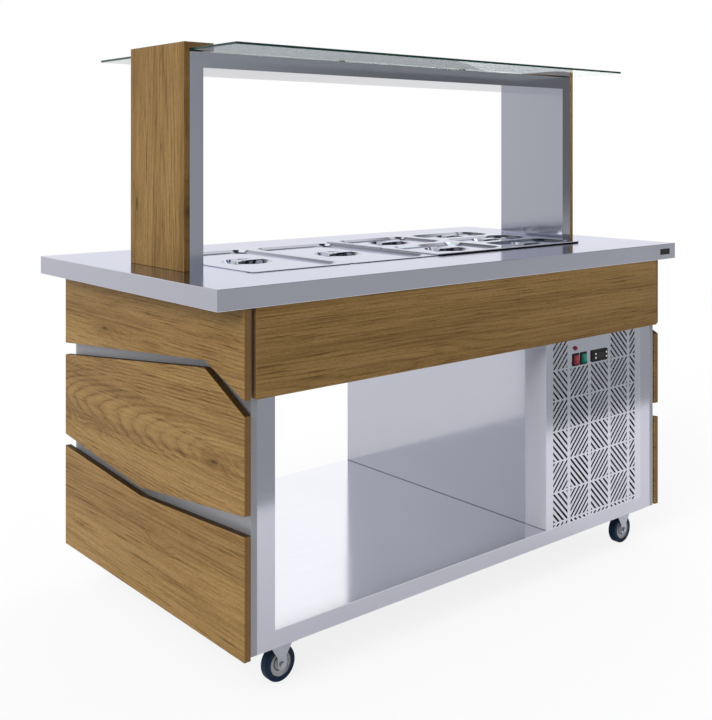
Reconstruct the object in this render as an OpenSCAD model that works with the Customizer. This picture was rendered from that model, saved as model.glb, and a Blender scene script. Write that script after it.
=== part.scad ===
// Mobile refrigerated salad bar: a pan well under a glass gantry, on a wood-clad steel cabinet with castors.
// The origin is on the floor under the middle of the worktop: +X along the length, +Y to the back, +Z up.

/* [Worktop] */
// Length of the worktop
top_l = 1770; // [1740:5:1900]
// Depth of the worktop from front to back
top_w = 940; // [925:5:1050]
// Height of the worktop's edge
top_t = 50; // [45:1:60]
// Height of the worktop's surface above the floor
top_h = 950; // [920:5:1000]
// Sheet thickness of the worktop, tank and gantry
sheet = 1.5; // [1:0.1:2]
// Width of the fold under the worktop's edge
hem_w = 15; // [10:1:16]
// Length of the badge plate on the worktop's front edge
badge_l = 50; // [40:1:60]
// Height of the badge plate
badge_h = 18.5; // [16:0.5:26]
// Distance from the worktop's right end to the badge plate
badge_in = 33; // [20:1:60]

/* [Pans and lids] */
// Length of a full-size pan over its rim
pan_l = 530; // [520:1:540]
// Width of a full-size pan over its rim
pan_w = 325; // [315:1:330]
// Clearance between neighbouring rims
rim_gap = 1; // [0.5:0.1:2]
// Width of a pan's rim
rim_w = 12.5; // [11:0.5:14]
// Depth of the pans
pan_d = 150; // [100:5:160]
// Sheet thickness of the pans and lids
pan_t = 1; // [0.8:0.1:1.2]
// Corner radius of a pan's wall
pan_r = 20; // [15:1:30]
// Height of the frame that carries the half-size and third-size pans, above the worktop
frame_h = 4; // [3:0.5:8]
// Drop of a lid's sunken panel below its rim
lid_drop = 6; // [4:0.5:8]
// Flat border of a lid, outside its sunken panel
lid_border = 14.5; // [14:0.5:18]
// Corner radius of the sunken panel
lid_r = 48; // [30:1:60]
// Width of the slope round the sunken panel
lid_slope = 12; // [8:1:16]
// Largest radius of the round dish in a lid
dish_r = 73; // [50:1:90]
// Depth of the round dish
dish_d = 14; // [10:1:18]
// Width of a lid's strap handle
handle_w = 24; // [16:1:30]
// Thickness of the strap handle
handle_t = 2.5; // [2:0.1:3]
// Height of the strap handle above the dish's floor
handle_h = 19; // [17:0.5:22]

/* [Well] */
// Width of the raised rail round the smaller pans
rail_w = 6.5; // [5:0.5:7.5]
// Clearance between the outer pans and the well's walls
well_gap = 1.5; // [1:0.1:3]
// Depth of the well
well_d = 190; // [180:5:200]
// Corner radius of the well
well_r = 9; // [8:1:20]
// Thickness of the insulation round the well
foam_t = 34; // [25:1:36]
// Width of the bars that carry the inner rims
bar_w = 16; // [14:0.5:18]
// Height of those bars
bar_h = 18; // [12:1:24]
// Outside radius of the drain spigot
drain_r = 14; // [10:0.5:18]
// Outside radius of the evaporator tube
coil_r = 4; // [3:0.5:5]
// Distance between the evaporator's runs
coil_pitch = 70; // [60:1:80]

/* [Gantry] */
// Distance from the worktop's end to a post board's outer face
post_in = 112.5; // [100:0.5:130]
// Width of a steel post, seen from the front
post_t = 40; // [30:1:50]
// Depth of the posts and the beam
post_w = 280; // [240:5:320]
// Clear height between the worktop and the beam
clear_h = 515; // [450:5:560]
// Height of the beam
beam_h = 40; // [30:1:50]
// Thickness of the post boards and cap boards
board_t = 16; // [12:0.5:19]
// Length of a cap board
cap_l = 71.5; // [45:0.5:100]
// Thickness of the glass
glass_t = 6; // [5:0.5:8]
// Depth of the glass from front to back
glass_w = 700; // [500:10:760]
// Thickness of the pads under the glass
pad_t = 2; // [1:0.5:3]
// Radius of those pads
pad_r = 10; // [6:0.5:14]

/* [Cabinet] */
// Distance from the worktop's end to the steel side
side_in = 100.5; // [90:0.5:115]
// Thickness of the hollow steel side
side_t = 17.5; // [15:0.5:25]
// Width of a leg of the face frame
leg_w = 50; // [40:1:60]
// Depth of the frame's legs and rails
leg_d = 40; // [30:1:50]
// Height of the bottom rail with the deck on it
rail_h = 42; // [32:1:60]
// Sheet thickness of the cabinet
cab_t = 1.5; // [1:0.1:2]
// Width of the fold along the deck's ends, the partition and the bottom rails
fold_w = 20; // [15:1:25]
// Width of the machine compartment, from the steel side to the partition
unit_w = 535; // [500:5:560]
// Distance from the grille to the condenser
coil_in = 120; // [80:5:200]

/* [Wood] */
// Thickness of the front and rear aprons
apron_t = 18; // [16:0.5:22]
// Height of the aprons
apron_h = 207; // [205:1:220]
// Distance from the worktop's end to an apron's end
apron_in = 104; // [98:0.5:115]
// Thickness of the side panels
panel_t = 17.5; // [15:0.5:20]
// Distance that the side panels stand off the steel side
stand_off = 9.5; // [8:0.5:12]
// Distance from the worktop's front edge to the left panels
left_front = 3.5; // [2:0.5:12]
// Distance from the worktop's front edge to the right panels
right_front = 16; // [10:0.5:18]
// Distance from the worktop's rear edge to the side panels
panel_back = 5; // [2:0.5:15]
// Depth of the top panel at its front corner
top_drop = 207.5; // [200:0.5:215]
// Depth of the top panel at its knee
top_knee = 141; // [130:0.5:150]
// Distance of the upper knee from the worktop's front edge
upper_knee_y = 172.5; // [150:0.5:200]
// Open height between the top and middle panels at their ends
gap_ends = 34; // [28:0.5:40]
// Open height between the top and middle panels at the knee
gap_knee = 17; // [14:0.5:22]
// Depth of the middle panel's lower edge at the front
mid_front = 466; // [460:0.5:470]
// Depth of the middle panel's lower edge at the back
mid_back = 474; // [470:0.5:480]
// Depth of the middle panel's lower knee
mid_knee = 519; // [510:0.5:525]
// Distance of the lower knee from the worktop's front edge
lower_knee_y = 482; // [460:1:500]
// Open height between the middle and lower panels at the front
low_gap_front = 45; // [38:0.5:50]
// Open height between the middle and lower panels at the back
low_gap_back = 33; // [28:0.5:40]
// Open height between the middle and lower panels at the knee
low_gap_knee = 21; // [16:0.5:26]

/* [Grille] */
// Side of the square cell that holds one set of slots
cell = 84.4; // [80:0.1:86]
// Solid strip between neighbouring columns of cells
cell_gap_x = 14; // [12:0.1:16]
// Solid strip between neighbouring rows of cells
cell_gap_z = 5.3; // [4:0.1:8]
// Width of a slot
slot_w = 6.5; // [5:0.1:8]
// Distance between the middles of neighbouring slots
slot_pitch = 14.35; // [13:0.05:16]
// Plain border at each end of the slotted field
field_in = 31.5; // [24:0.5:36]
// Part of the first column that the border cuts off
first_cut = 18.3; // [10:0.1:30]
// Height of the lowest strip, below the first full row
first_row = 13.4; // [8:0.1:16]
// Slots on each side of a cell's middle slot
side_slots = 4; // [3:1:4]

/* [Controls] */
// Distance from the grille's top edge down to the controls' centre line
ctrl_drop = 96.5; // [92:0.5:102]
// Width of a switch housing
switch_w = 30; // [28:0.5:32]
// Height of a switch housing
switch_h = 37; // [35:0.5:38]
// Width of a rocker
rocker_w = 22; // [18:0.5:24]
// Radius that a rocker's ends turn on
rocker_r = 14.6; // [13:0.1:15]
// Distance from the compartment's left edge to the red switch's middle
red_x = 137.5; // [134:0.5:140]
// Distance between the middles of the two switches
switch_pitch = 37; // [34:0.5:38]
// Width of the thermostat
stat_w = 76; // [72:0.5:84]
// Height of the thermostat
stat_h = 35; // [32:0.5:38]
// Distance from the green switch's middle to the thermostat's middle
stat_gap = 77; // [74:0.5:80]
// Radius of a thermostat key
key_r = 3; // [2.5:0.1:3.5]
// Distance of a thermostat key above or below the thermostat's middle
key_z = 6; // [5:0.1:8]
// Radius of the pilot lamp's bezel
lamp_r = 7; // [6:0.5:9]
// Height of the pilot lamp above the switches' middle
lamp_up = 34; // [30:0.5:38]

/* [Castors] */
// Diameter of a castor wheel
wheel_d = 86; // [75:1:87]
// Width of a castor wheel
wheel_w = 25; // [20:0.5:30]
// Height of a castor from the floor to its plate's top
castor_h = 106; // [104:1:120]
// Distance from the swivel axis to the axle
trail = 20; // [15:0.5:25]
// Distance from the worktop's end to a wheel's middle
wheel_in_x = 211.5; // [205:0.5:225]
// Distance from the worktop's front or rear edge to a wheel's middle
wheel_in_y = 67.5; // [65:0.5:85]
// Radius of a castor axle
axle_r = 4; // [3.5:0.1:5]

/* [Hidden] */
$fn = 48;

e = 0.01;            // a cut runs this far past the face it opens
run_fit = 0.05;      // radial clearance of a shaft that turns or slides in its bore
part_gap = 0.3;      // clearance between a moving piece and what it passes

steel_color = [0.66, 0.68, 0.74];
bright_color = [0.84, 0.85, 0.89];
wood_color = [0.60, 0.46, 0.30];
glass_color = [0.75, 0.88, 0.84, 0.5];
foam_color = [0.92, 0.88, 0.70];
black_color = [0.10, 0.10, 0.11];
tyre_color = [0.09, 0.13, 0.20];

front_y = -top_w / 2;                      // worktop's front edge
face_y = front_y + apron_t;                // front of the steel cabinet
top_under = top_h - top_t;                 // underside of the worktop's edge
body_x = top_l / 2 - side_in;              // outer face of a steel side
inner_x = body_x - side_t;                 // inner face of a steel side
body_low = castor_h;                       // underside of the cabinet
deck_z = body_low + rail_h;                // top of the deck
apron_low = top_under - apron_h;           // lower edge of the aprons
cover_z = top_h - well_d - foam_t - cab_t; // underside of the well's cover
ctrl_z = cover_z - ctrl_drop;              // middle of the switches and the thermostat
part_x = body_x - unit_w;                  // partition's face towards the bay
unit_right = inner_x - leg_w;              // right edge of the compartment's opening
pitch_x = pan_w + rim_gap;                 // distance between columns of pans
columns = 4;
well_l = columns * pitch_x - rim_gap - 2 * rim_w + 2 * well_gap;
well_w = pan_l - 2 * rim_w + 2 * well_gap;
half_w = (pan_l - rim_gap) / 2;            // rim depth of a half-size pan
third_w = (pan_l - 2 * rim_gap) / 3;       // rim depth of a third-size pan
post_x = top_l / 2 - post_in - board_t;    // outer face of a steel post
beam_z = top_h + clear_h;                  // underside of the beam
glass_z = beam_z + beam_h + pad_t;         // underside of the glass
gantry_top = glass_z + glass_t + board_t;  // top of the boards
panel_x = body_x + stand_off;              // back of the side panels
ctrl_x = part_x + red_x;                   // middle of the red switch
stat_x = ctrl_x + switch_pitch + stat_gap; // middle of the thermostat
lamp_x = ctrl_x - 1.5;                     // the lamp sits over the red switch
axle_z = wheel_d / 2;
wheel_x = top_l / 2 - wheel_in_x;
wheel_y = top_w / 2 - wheel_in_y;
coil_runs = 6;
coil_l = 0.8 * well_l;
coil_z = top_h - well_d - sheet - coil_r - part_gap;
line_x = coil_l / 2;                       // where the two lines leave the well
line_y = (coil_runs - 1) * coil_pitch / 2;
fan_x = (part_x + unit_right) / 2;
fan_up = 190;                              // fan's axis above the deck
fan_z = deck_z + fan_up;
fan_r = 105;
coil_y = face_y + coil_in;                  // front of the condenser block
fin_d = 44;                                // depth of the condenser block
fin_h = 250;
fin_l = 300;
shroud_d = 30;
comp_y = 110;
comp_r = 82;
comp_h = 190;
comp_foot = 14;
base_l = 190;                              // compressor's base plate
base_w = 150;
base_foot = 15;                            // from the plate's edge to the middle of a foot

// ---------- shared shapes ----------

// Rectangle with round corners, centred
module round_rect(w, d, r) {
    square([w - 2 * r, d], center = true);
    square([w, d - 2 * r], center = true);
    for (sx = [-1, 1], sy = [-1, 1])
        translate([sx * (w / 2 - r), sy * (d / 2 - r)]) circle(r = r);
}

// Plate with round corners, centred in X and Y
module round_plate(w, d, r, h) {
    linear_extrude(h) round_rect(w, d, r);
}

// The same thing at both ends of the bar
module both_ends() {
    children();
    mirror([1, 0, 0]) children();
}

// The same thing at the front and at the back
module front_and_rear() {
    children();
    mirror([0, 1, 0]) children();
}

// Outline in Y and Z, extruded along X from x
module side_profile(x, t, points) {
    translate([x, 0, 0]) rotate([90, 0, 90]) linear_extrude(t) polygon(points);
}

// ---------- worktop and well ----------

module worktop() {
    color(bright_color) {
        difference() {
            translate([-top_l / 2, front_y, top_under]) cube([top_l, top_w, top_t]);
            translate([-top_l / 2 + sheet, front_y + sheet, top_under - e])
                cube([top_l - 2 * sheet, top_w - 2 * sheet, top_t - sheet + e]);
            translate([0, 0, top_under]) round_plate(well_l, well_w, well_r, top_t + e);
        }
        // folded hem under the edge
        difference() {
            translate([-top_l / 2 + sheet, front_y + sheet, top_under])
                cube([top_l - 2 * sheet, top_w - 2 * sheet, sheet]);
            translate([-top_l / 2 + hem_w, front_y + hem_w, top_under - e])
                cube([top_l - 2 * hem_w, top_w - 2 * hem_w, sheet + 2 * e]);
        }
        // tubes under the posts, which rest on the cabinet's legs
        for (sx = [-1, 1]) translate([sx * (inner_x - leg_w / 2) - leg_w / 2, face_y, top_under]) difference() {
            cube([leg_w, -2 * face_y, top_t - sheet]);
            translate([sheet, -e, sheet]) cube([leg_w - 2 * sheet, -2 * face_y + 2 * e, top_t - 3 * sheet]);
        }
    }
}

tank_flange = 20;

module well_tank() {
    floor_z = top_h - well_d;
    color(bright_color) difference() {
        union() {
            translate([0, 0, floor_z - sheet])
                round_plate(well_l + 2 * sheet, well_w + 2 * sheet, well_r + sheet, well_d);
            translate([0, 0, top_h - 2 * sheet])
                round_plate(well_l + 2 * tank_flange, well_w + 2 * tank_flange, well_r, sheet);
            translate([0, 0, cover_z - fold_w]) cylinder(r = drain_r, h = floor_z - cover_z + fold_w);
        }
        translate([0, 0, floor_z]) round_plate(well_l, well_w, well_r, well_d);
        translate([0, 0, cover_z - fold_w - e]) cylinder(r = drain_r - sheet, h = well_d);
    }
}

module well_insulation() {
    wall = sheet + part_gap;
    low = cover_z + cab_t;
    color(foam_color) difference() {
        translate([-well_l / 2 - foam_t, -well_w / 2 - foam_t, low])
            cube([well_l + 2 * foam_t, well_w + 2 * foam_t, top_h - 2 * sheet - low]);
        translate([0, 0, top_h - well_d - sheet])
            round_plate(well_l + 2 * wall, well_w + 2 * wall, well_r + wall, well_d + e);
        // pocket for the evaporator under the tank
        translate([-coil_l / 2 - coil_pitch, -coil_runs * coil_pitch / 2 - coil_r, coil_z - 2 * coil_r])
            cube([coil_l + 2 * coil_pitch, coil_runs * coil_pitch + 2 * coil_r, 4 * coil_r]);
        translate([0, 0, low - e]) cylinder(r = drain_r + part_gap, h = foam_t);
        line_holes(low - e, foam_t);
    }
}

// Holes for the two refrigerant lines
module line_holes(z, h) {
    for (sy = [-1, 1])
        translate([line_x, sy * line_y, z]) cylinder(r = coil_r + 2, h = h);
}

// Frame of bars across the well, with a rail on the worktop round the half-size and third-size pans
module pan_bars() {
    low = top_h - bar_h;
    high = bar_h + frame_h;
    right = well_l / 2;
    half_bar = bar_w / 2;
    color(bright_color) {
        translate([-pitch_x - half_bar, -well_w / 2, low]) cube([bar_w, well_w, bar_h]);
        translate([-half_bar, -well_w / 2, low]) cube([bar_w, well_w, bar_h]);
        translate([half_bar - rail_w, -well_w / 2, low]) cube([rail_w, well_w, high]);
        translate([pitch_x - half_bar, -well_w / 2, low]) cube([bar_w, well_w, high]);
        // between the half-size pans
        translate([0, -half_bar, low]) cube([pitch_x, bar_w, high]);
        // between the third-size pans
        for (sy = [-1, 1])
            translate([pitch_x, sy * (third_w + rim_gap) / 2 - half_bar, low])
                cube([right - pitch_x, bar_w, high]);
        // rail that lies on the worktop
        difference() {
            translate([half_bar - rail_w, -well_w / 2 - rail_w, top_h])
                cube([right + 2 * rail_w - half_bar, well_w + 2 * rail_w, frame_h]);
            translate([half_bar, -well_w / 2, top_h - e])
                cube([right - half_bar, well_w, frame_h + 2 * e]);
        }
        translate([half_bar, -half_bar, top_h]) cube([pitch_x - half_bar, bar_w, frame_h]);
    }
}

// Middle of each pan
full_left = [-1.5 * pitch_x, 0];
full_right = [-0.5 * pitch_x, 0];
half_front = [0.5 * pitch_x, -(half_w + rim_gap) / 2];
half_rear = [0.5 * pitch_x, (half_w + rim_gap) / 2];
third_front = [1.5 * pitch_x, -(third_w + rim_gap)];
third_middle = [1.5 * pitch_x, 0];
third_rear = [1.5 * pitch_x, third_w + rim_gap];

module pan(at, d, rise) {
    body_w = pan_w - 2 * rim_w;
    body_d = d - 2 * rim_w;
    color(bright_color) translate([at[0], at[1], top_h + rise - pan_d]) difference() {
        union() {
            round_plate(body_w, body_d, pan_r, pan_d);
            translate([0, 0, pan_d]) round_plate(pan_w, d, rim_w, pan_t);
        }
        translate([0, 0, pan_t]) round_plate(body_w - 2 * pan_t, body_d - 2 * pan_t, pan_r - pan_t, pan_d);
    }
}

// Solid with round corners and sloping sides: w by d at its top, narrower by the slope at its foot
module sloped_tub(w, d, r, h) {
    slope = lid_slope;
    translate([0, (d - 2 * r) / 2, 0]) rotate([90, 0, 0]) linear_extrude(d - 2 * r)
        polygon([[-w / 2 + slope, 0], [w / 2 - slope, 0], [w / 2, h], [-w / 2, h]]);
    translate([-(w - 2 * r) / 2, 0, 0]) rotate([90, 0, 90]) linear_extrude(w - 2 * r)
        polygon([[-d / 2 + slope, 0], [d / 2 - slope, 0], [d / 2, h], [-d / 2, h]]);
    for (sx = [-1, 1], sy = [-1, 1])
        translate([sx * (w / 2 - r), sy * (d / 2 - r), 0]) cylinder(r1 = r - slope, r2 = r, h = h);
}

// The dish is as large as the sunken panel lets it be
function dish_size(d) = min(dish_r, d / 2 - lid_border - lid_slope - 4);

// A lid lies on its pan's rim, with its strap handle in the dish
module lid(at, d, rise) {
    tub_w = pan_w - 2 * lid_border;
    tub_d = d - 2 * lid_border;
    r = dish_size(d);
    color(bright_color) translate([at[0], at[1], top_h + rise + pan_t]) {
        difference() {
            union() {
                round_plate(pan_w, d, rim_w, pan_t);
                translate([0, 0, -lid_drop]) sloped_tub(tub_w, tub_d, lid_r, lid_drop);
                translate([0, 0, -lid_drop - dish_d]) dish(r, dish_d + pan_t / 2);
            }
            translate([0, 0, pan_t - lid_drop])
                sloped_tub(tub_w - 2 * pan_t, tub_d - 2 * pan_t, lid_r - pan_t, lid_drop);
            translate([0, 0, pan_t - lid_drop - dish_d]) dish(r - pan_t, dish_d + pan_t / 2);
        }
        translate([0, 0, pan_t - lid_drop - dish_d]) strap_handle(r - pan_t - dish_slope - 1);
    }
}

dish_slope = 10;

// Round dish with a sloping wall, as a solid
module dish(r, h) {
    cylinder(r1 = r - dish_slope, r2 = r, h = dish_d);
    cylinder(r = r - dish_slope, h = dish_d);
    translate([0, 0, dish_d - e]) cylinder(r = r, h = h - dish_d + e);
}

// Strap bent down at both ends onto the dish's floor; half is half its length
module strap_handle(half) {
    foot = 10;
    run = 7;
    knee = half - foot;
    translate([0, handle_w / 2, 0]) rotate([90, 0, 0]) linear_extrude(handle_w) {
        for (sx = [-1, 1]) polygon([
            [sx * half, 0], [sx * (knee - handle_t), 0], [sx * (knee - run - handle_t), handle_h - handle_t],
            [sx * (knee - run - handle_t), handle_h], [sx * (knee - run), handle_h],
            [sx * knee, handle_t], [sx * half, handle_t]
        ]);
        translate([-(knee - run - handle_t), handle_h - handle_t])
            square([2 * (knee - run - handle_t), handle_t]);
    }
}

// ---------- gantry ----------

// Steel posts: rectangular tubes, open top and bottom
module posts() {
    color(steel_color) both_ends() difference() {
        translate([post_x - post_t, -post_w / 2, top_h]) cube([post_t, post_w, clear_h]);
        translate([post_x - post_t + sheet, -post_w / 2 + sheet, top_h - e])
            cube([post_t - 2 * sheet, post_w - 2 * sheet, clear_h + 2 * e]);
    }
}

// Beam: a rectangular tube, open at its ends
module top_beam() {
    color(steel_color) difference() {
        translate([-post_x, -post_w / 2, beam_z]) cube([2 * post_x, post_w, beam_h]);
        translate([-post_x - e, -post_w / 2 + sheet, beam_z + sheet])
            cube([2 * post_x + 2 * e, post_w - 2 * sheet, beam_h - 2 * sheet]);
    }
}

module post_boards() {
    color(wood_color) both_ends()
        translate([post_x, -post_w / 2, top_h]) cube([board_t, post_w, gantry_top - top_h]);
}

module cap_boards() {
    color(wood_color) both_ends()
        translate([post_x - cap_l, -post_w / 2, glass_z + glass_t]) cube([cap_l, post_w, board_t]);
}

module glass_shelf() {
    side = post_x - part_gap;
    color(glass_color)
        translate([-side, -glass_w / 2, glass_z]) cube([2 * side, glass_w, glass_t]);
}

module glass_pads() {
    in_x = post_x - post_t / 2;
    in_y = post_w / 2 - 2 * pad_r;
    color(black_color)
        for (i = [-1 : 2 / 3 : 1 + e], sy = [-1, 1])
            translate([i * in_x, sy * in_y, glass_z - pad_t]) cylinder(r = pad_r, h = pad_t);
}

// ---------- wood on the cabinet ----------

module aprons() {
    color(wood_color) front_and_rear()
        translate([-top_l / 2 + apron_in, front_y, apron_low]) cube([top_l - 2 * apron_in, apron_t, apron_h]);
}

panel_rear = top_w / 2 - panel_back;
upper_knee = front_y + upper_knee_y;
lower_knee = front_y + lower_knee_y;

// A side panel at both ends, the left and right ones starting at different fronts
module side_pair(level) {
    color(wood_color) {
        mirror([1, 0, 0]) side_profile(panel_x, panel_t, panel_outline(level, front_y + left_front));
        side_profile(panel_x, panel_t, panel_outline(level, front_y + right_front));
    }
}

// Outline of a side panel in Y and Z; level 0 is the top panel, 2 the lowest
function panel_outline(level, front) =
    level == 0 ? [[front, top_under], [front, top_under - top_drop],
        [upper_knee, top_under - top_knee], [panel_rear, top_under - top_drop], [panel_rear, top_under]]
    : level == 1 ? [[front, top_under - top_drop - gap_ends], [front, top_under - mid_front],
        [lower_knee, top_under - mid_knee], [panel_rear, top_under - mid_back],
        [panel_rear, top_under - top_drop - gap_ends], [upper_knee, top_under - top_knee - gap_knee]]
    : [[front, top_under - mid_front - low_gap_front], [front, body_low], [panel_rear, body_low],
        [panel_rear, top_under - mid_back - low_gap_back], [lower_knee, top_under - mid_knee - low_gap_knee]];

module top_side_panels() { side_pair(0); }
module middle_side_panels() { side_pair(1); }
module lower_side_panels() { side_pair(2); }

// ---------- steel cabinet ----------

// Side casing with the stand-offs that carry its three wood panels
module side_casings() {
    color(steel_color) both_ends() {
        difference() {
            translate([inner_x, face_y, body_low]) cube([side_t, -2 * face_y, top_under - body_low]);
            translate([inner_x + cab_t, face_y + cab_t, body_low + cab_t])
                cube([side_t - 2 * cab_t, -2 * (face_y + cab_t), top_under - body_low]);
        }
        for (z = [top_under - top_knee / 2, top_under - (top_drop + mid_front) / 2,
                  (top_under - mid_knee + body_low) / 2], sy = [-1, 1])
            translate([body_x - e, sy * (-face_y - 2 * leg_w) - leg_w / 2, z - leg_w / 2])
                cube([stand_off + e, leg_w, leg_w]);
    }
}

// Leg of the face frame: a channel that is open towards the side casing
module frame_leg() {
    low = deck_z - cab_t;
    translate([unit_right, face_y, low]) linear_extrude(top_under - low) {
        square([leg_w, cab_t]);
        square([cab_t, leg_d]);
        translate([0, leg_d - cab_t]) square([leg_w, cab_t]);
    }
}

// Bottom rail: a channel that is open towards the middle of the cabinet
module frame_rail() {
    translate([-inner_x, face_y, body_low]) {
        cube([2 * inner_x, cab_t, rail_h - cab_t]);
        translate([0, 0, rail_h - 2 * cab_t]) cube([2 * inner_x, leg_d, cab_t]);
        cube([2 * inner_x, fold_w, cab_t]);
    }
}

// Fascia behind the apron: a channel that closes the well's front
module frame_fascia() {
    translate([-unit_right, face_y, cover_z]) {
        cube([2 * unit_right, cab_t, top_under - cover_z]);
        cube([2 * unit_right, leg_d, cab_t]);
        translate([0, 0, top_under - cover_z - cab_t]) cube([2 * unit_right, leg_d, cab_t]);
    }
}

gusset = 130;

module carcass_frame() {
    color(steel_color) {
        front_and_rear() {
            frame_rail();
            frame_fascia();
            both_ends() {
                frame_leg();
                translate([inner_x - gusset, face_y, body_low]) cube([gusset, gusset, cab_t]);
            }
        }
        // side rails between the front and rear rails
        both_ends() translate([inner_x - cab_t, face_y, body_low])
            cube([cab_t, -2 * face_y, rail_h - cab_t]);
        both_ends() translate([inner_x - fold_w, face_y, deck_z - 2 * cab_t])
            cube([fold_w, -2 * face_y, cab_t]);
    }
}

module deck() {
    z = deck_z - cab_t;
    color(bright_color) difference() {
        translate([-inner_x, face_y, z]) cube([2 * inner_x, -2 * face_y, cab_t]);
        // room for the legs
        front_and_rear() both_ends()
            translate([unit_right, face_y - e, z - e]) cube([leg_w + e, leg_d + e, cab_t + 2 * e]);
    }
}

module partition() {
    h = cover_z - deck_z;
    color(bright_color) {
        translate([part_x, face_y, deck_z]) cube([cab_t, -2 * face_y, h]);
        translate([part_x, face_y + cab_t, deck_z]) cube([fold_w, -2 * (face_y + cab_t), cab_t]);
        translate([part_x, face_y + leg_d, cover_z - cab_t]) cube([fold_w, -2 * (face_y + leg_d), cab_t]);
    }
}

module well_cover() {
    color(bright_color) difference() {
        translate([-inner_x, face_y + leg_d, cover_z])
            cube([2 * inner_x, -2 * (face_y + leg_d), cab_t]);
        translate([0, 0, cover_z - e]) cylinder(r = drain_r + part_gap, h = cab_t + 2 * e);
        line_holes(cover_z - e, cab_t + 2 * e);
    }
}

// ---------- grille ----------

unit_open = unit_right - part_x - cab_t;   // width of the compartment's opening
field_l = unit_open - 2 * field_in;
grille_h = cover_z - deck_z;
cell_pitch_x = cell + cell_gap_x;
cell_pitch_z = cell + cell_gap_z;

// The slots of one cell: a middle one on the diagonal and some on each side of it
module cell_slots(rising) {
    intersection() {
        square(cell);
        translate([cell / 2, cell / 2]) rotate(rising ? 45 : -45)
            for (k = [-side_slots : side_slots])
                translate([-cell, k * slot_pitch - slot_w / 2]) square([2 * cell, slot_w]);
    }
}

// The slotted field in X and Z, from the panel's lower left corner
module slot_field() {
    cols = ceil((field_l + first_cut) / cell_pitch_x);
    rows = floor((grille_h - first_row) / cell_pitch_z);
    ctrl_low = ctrl_z - deck_z - switch_h / 2;
    intersection() {
        translate([field_in, 0]) square([field_l, grille_h]);
        for (i = [0 : cols - 1], j = [-1 : rows - 1]) {
            bottom = first_row + j * cell_pitch_z;
            // the upper cells in the second and third columns are left plain for the controls
            plain = (i == 1 || i == 2) && bottom + cell > ctrl_low;
            if (!plain) translate([field_in - first_cut + i * cell_pitch_x, bottom])
                cell_slots((i + j) % 2 != 0);
        }
    }
}

module front_grille() {
    color(steel_color) translate([part_x + cab_t, face_y, deck_z]) difference() {
        rotate([90, 0, 0]) translate([0, 0, -sheet]) linear_extrude(sheet) difference() {
            square([unit_open, grille_h]);
            slot_field();
        }
        translate([-part_x - cab_t, -face_y, -deck_z]) control_cuts();
    }
}

// Openings for the controls, behind their bezels
module control_cuts() {
    for (i = [0, 1])
        translate([ctrl_x + i * switch_pitch - switch_w / 2 + 1, face_y - e, ctrl_z - switch_h / 2 + 1])
            cube([switch_w - 2, sheet + 2 * e, switch_h - 2]);
    translate([stat_x - stat_w / 2 + stat_lip - part_gap, face_y - e, ctrl_z - stat_h / 2 + stat_lip - part_gap])
        cube([stat_w - 2 * (stat_lip - part_gap), sheet + 2 * e, stat_h - 2 * (stat_lip - part_gap)]);
    translate([lamp_x, face_y - e, ctrl_z + lamp_up])
        rotate([-90, 0, 0]) cylinder(r = lamp_r - 2 + part_gap, h = sheet + 2 * e);
}

// Rear panel with rows of plain vent slots, and a hole for the cord gland
gland_z = 60;
gland_r = 10;

module rear_grille() {
    slots = 3;
    slot_l = (field_l - (slots - 1) * field_in) / slots;
    rows = floor((grille_h - 4 * field_in) / (2 * slot_pitch));
    color(steel_color) translate([part_x + cab_t, -face_y, deck_z]) rotate([90, 0, 0]) difference() {
        linear_extrude(sheet) difference() {
            square([unit_open, grille_h]);
            for (i = [0 : slots - 1], j = [0 : rows])
                translate([field_in + i * (slot_l + field_in), 3 * field_in + j * 2 * slot_pitch])
                    square([slot_l, slot_w]);
        }
        translate([unit_open - 2 * field_in, gland_z, -e]) cylinder(r = gland_r + part_gap, h = sheet + 2 * e);
    }
}

module cord_gland() {
    x = part_x + cab_t + unit_open - 2 * field_in;
    flange_r = gland_r + 5;
    color(black_color) translate([x, -face_y - sheet - 12, deck_z + gland_z]) rotate([-90, 0, 0]) difference() {
        union() {
            cylinder(r = gland_r, h = 12 + sheet + 4);
            cylinder(r = flange_r, h = 12, $fn = 6);
            translate([0, 0, 12 + sheet]) cylinder(r = flange_r, h = 4);
            translate([0, 0, 12 + sheet + 4]) cylinder(r1 = gland_r, r2 = gland_r - 3, h = 8);
        }
        translate([0, 0, -e]) cylinder(r = 4.5, h = 40);
    }
}

// ---------- controls ----------

switch_depth = 18;
stat_lip = 3;                              // bezel's overlap round the thermostat's body
rocker_tilt = 7;
pivot_y = face_y - 2;                      // rocker pivots lie at the front of the housings' bezels

module switch_housings() {
    color(black_color) for (i = [0, 1]) translate([ctrl_x + i * switch_pitch, pivot_y, ctrl_z]) difference() {
        union() {
            translate([-switch_w / 2, 0, -switch_h / 2]) cube([switch_w, 2, switch_h]);
            translate([-switch_w / 2 + 1.2, 2 - e, -switch_h / 2 + 1.2])
                cube([switch_w - 2.4, switch_depth, switch_h - 2.4]);
        }
        translate([-rocker_w / 2 - part_gap, 0, 0]) rotate([0, 90, 0])
            cylinder(r = rocker_r + part_gap, h = rocker_w + 2 * part_gap);
    }
}

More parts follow.
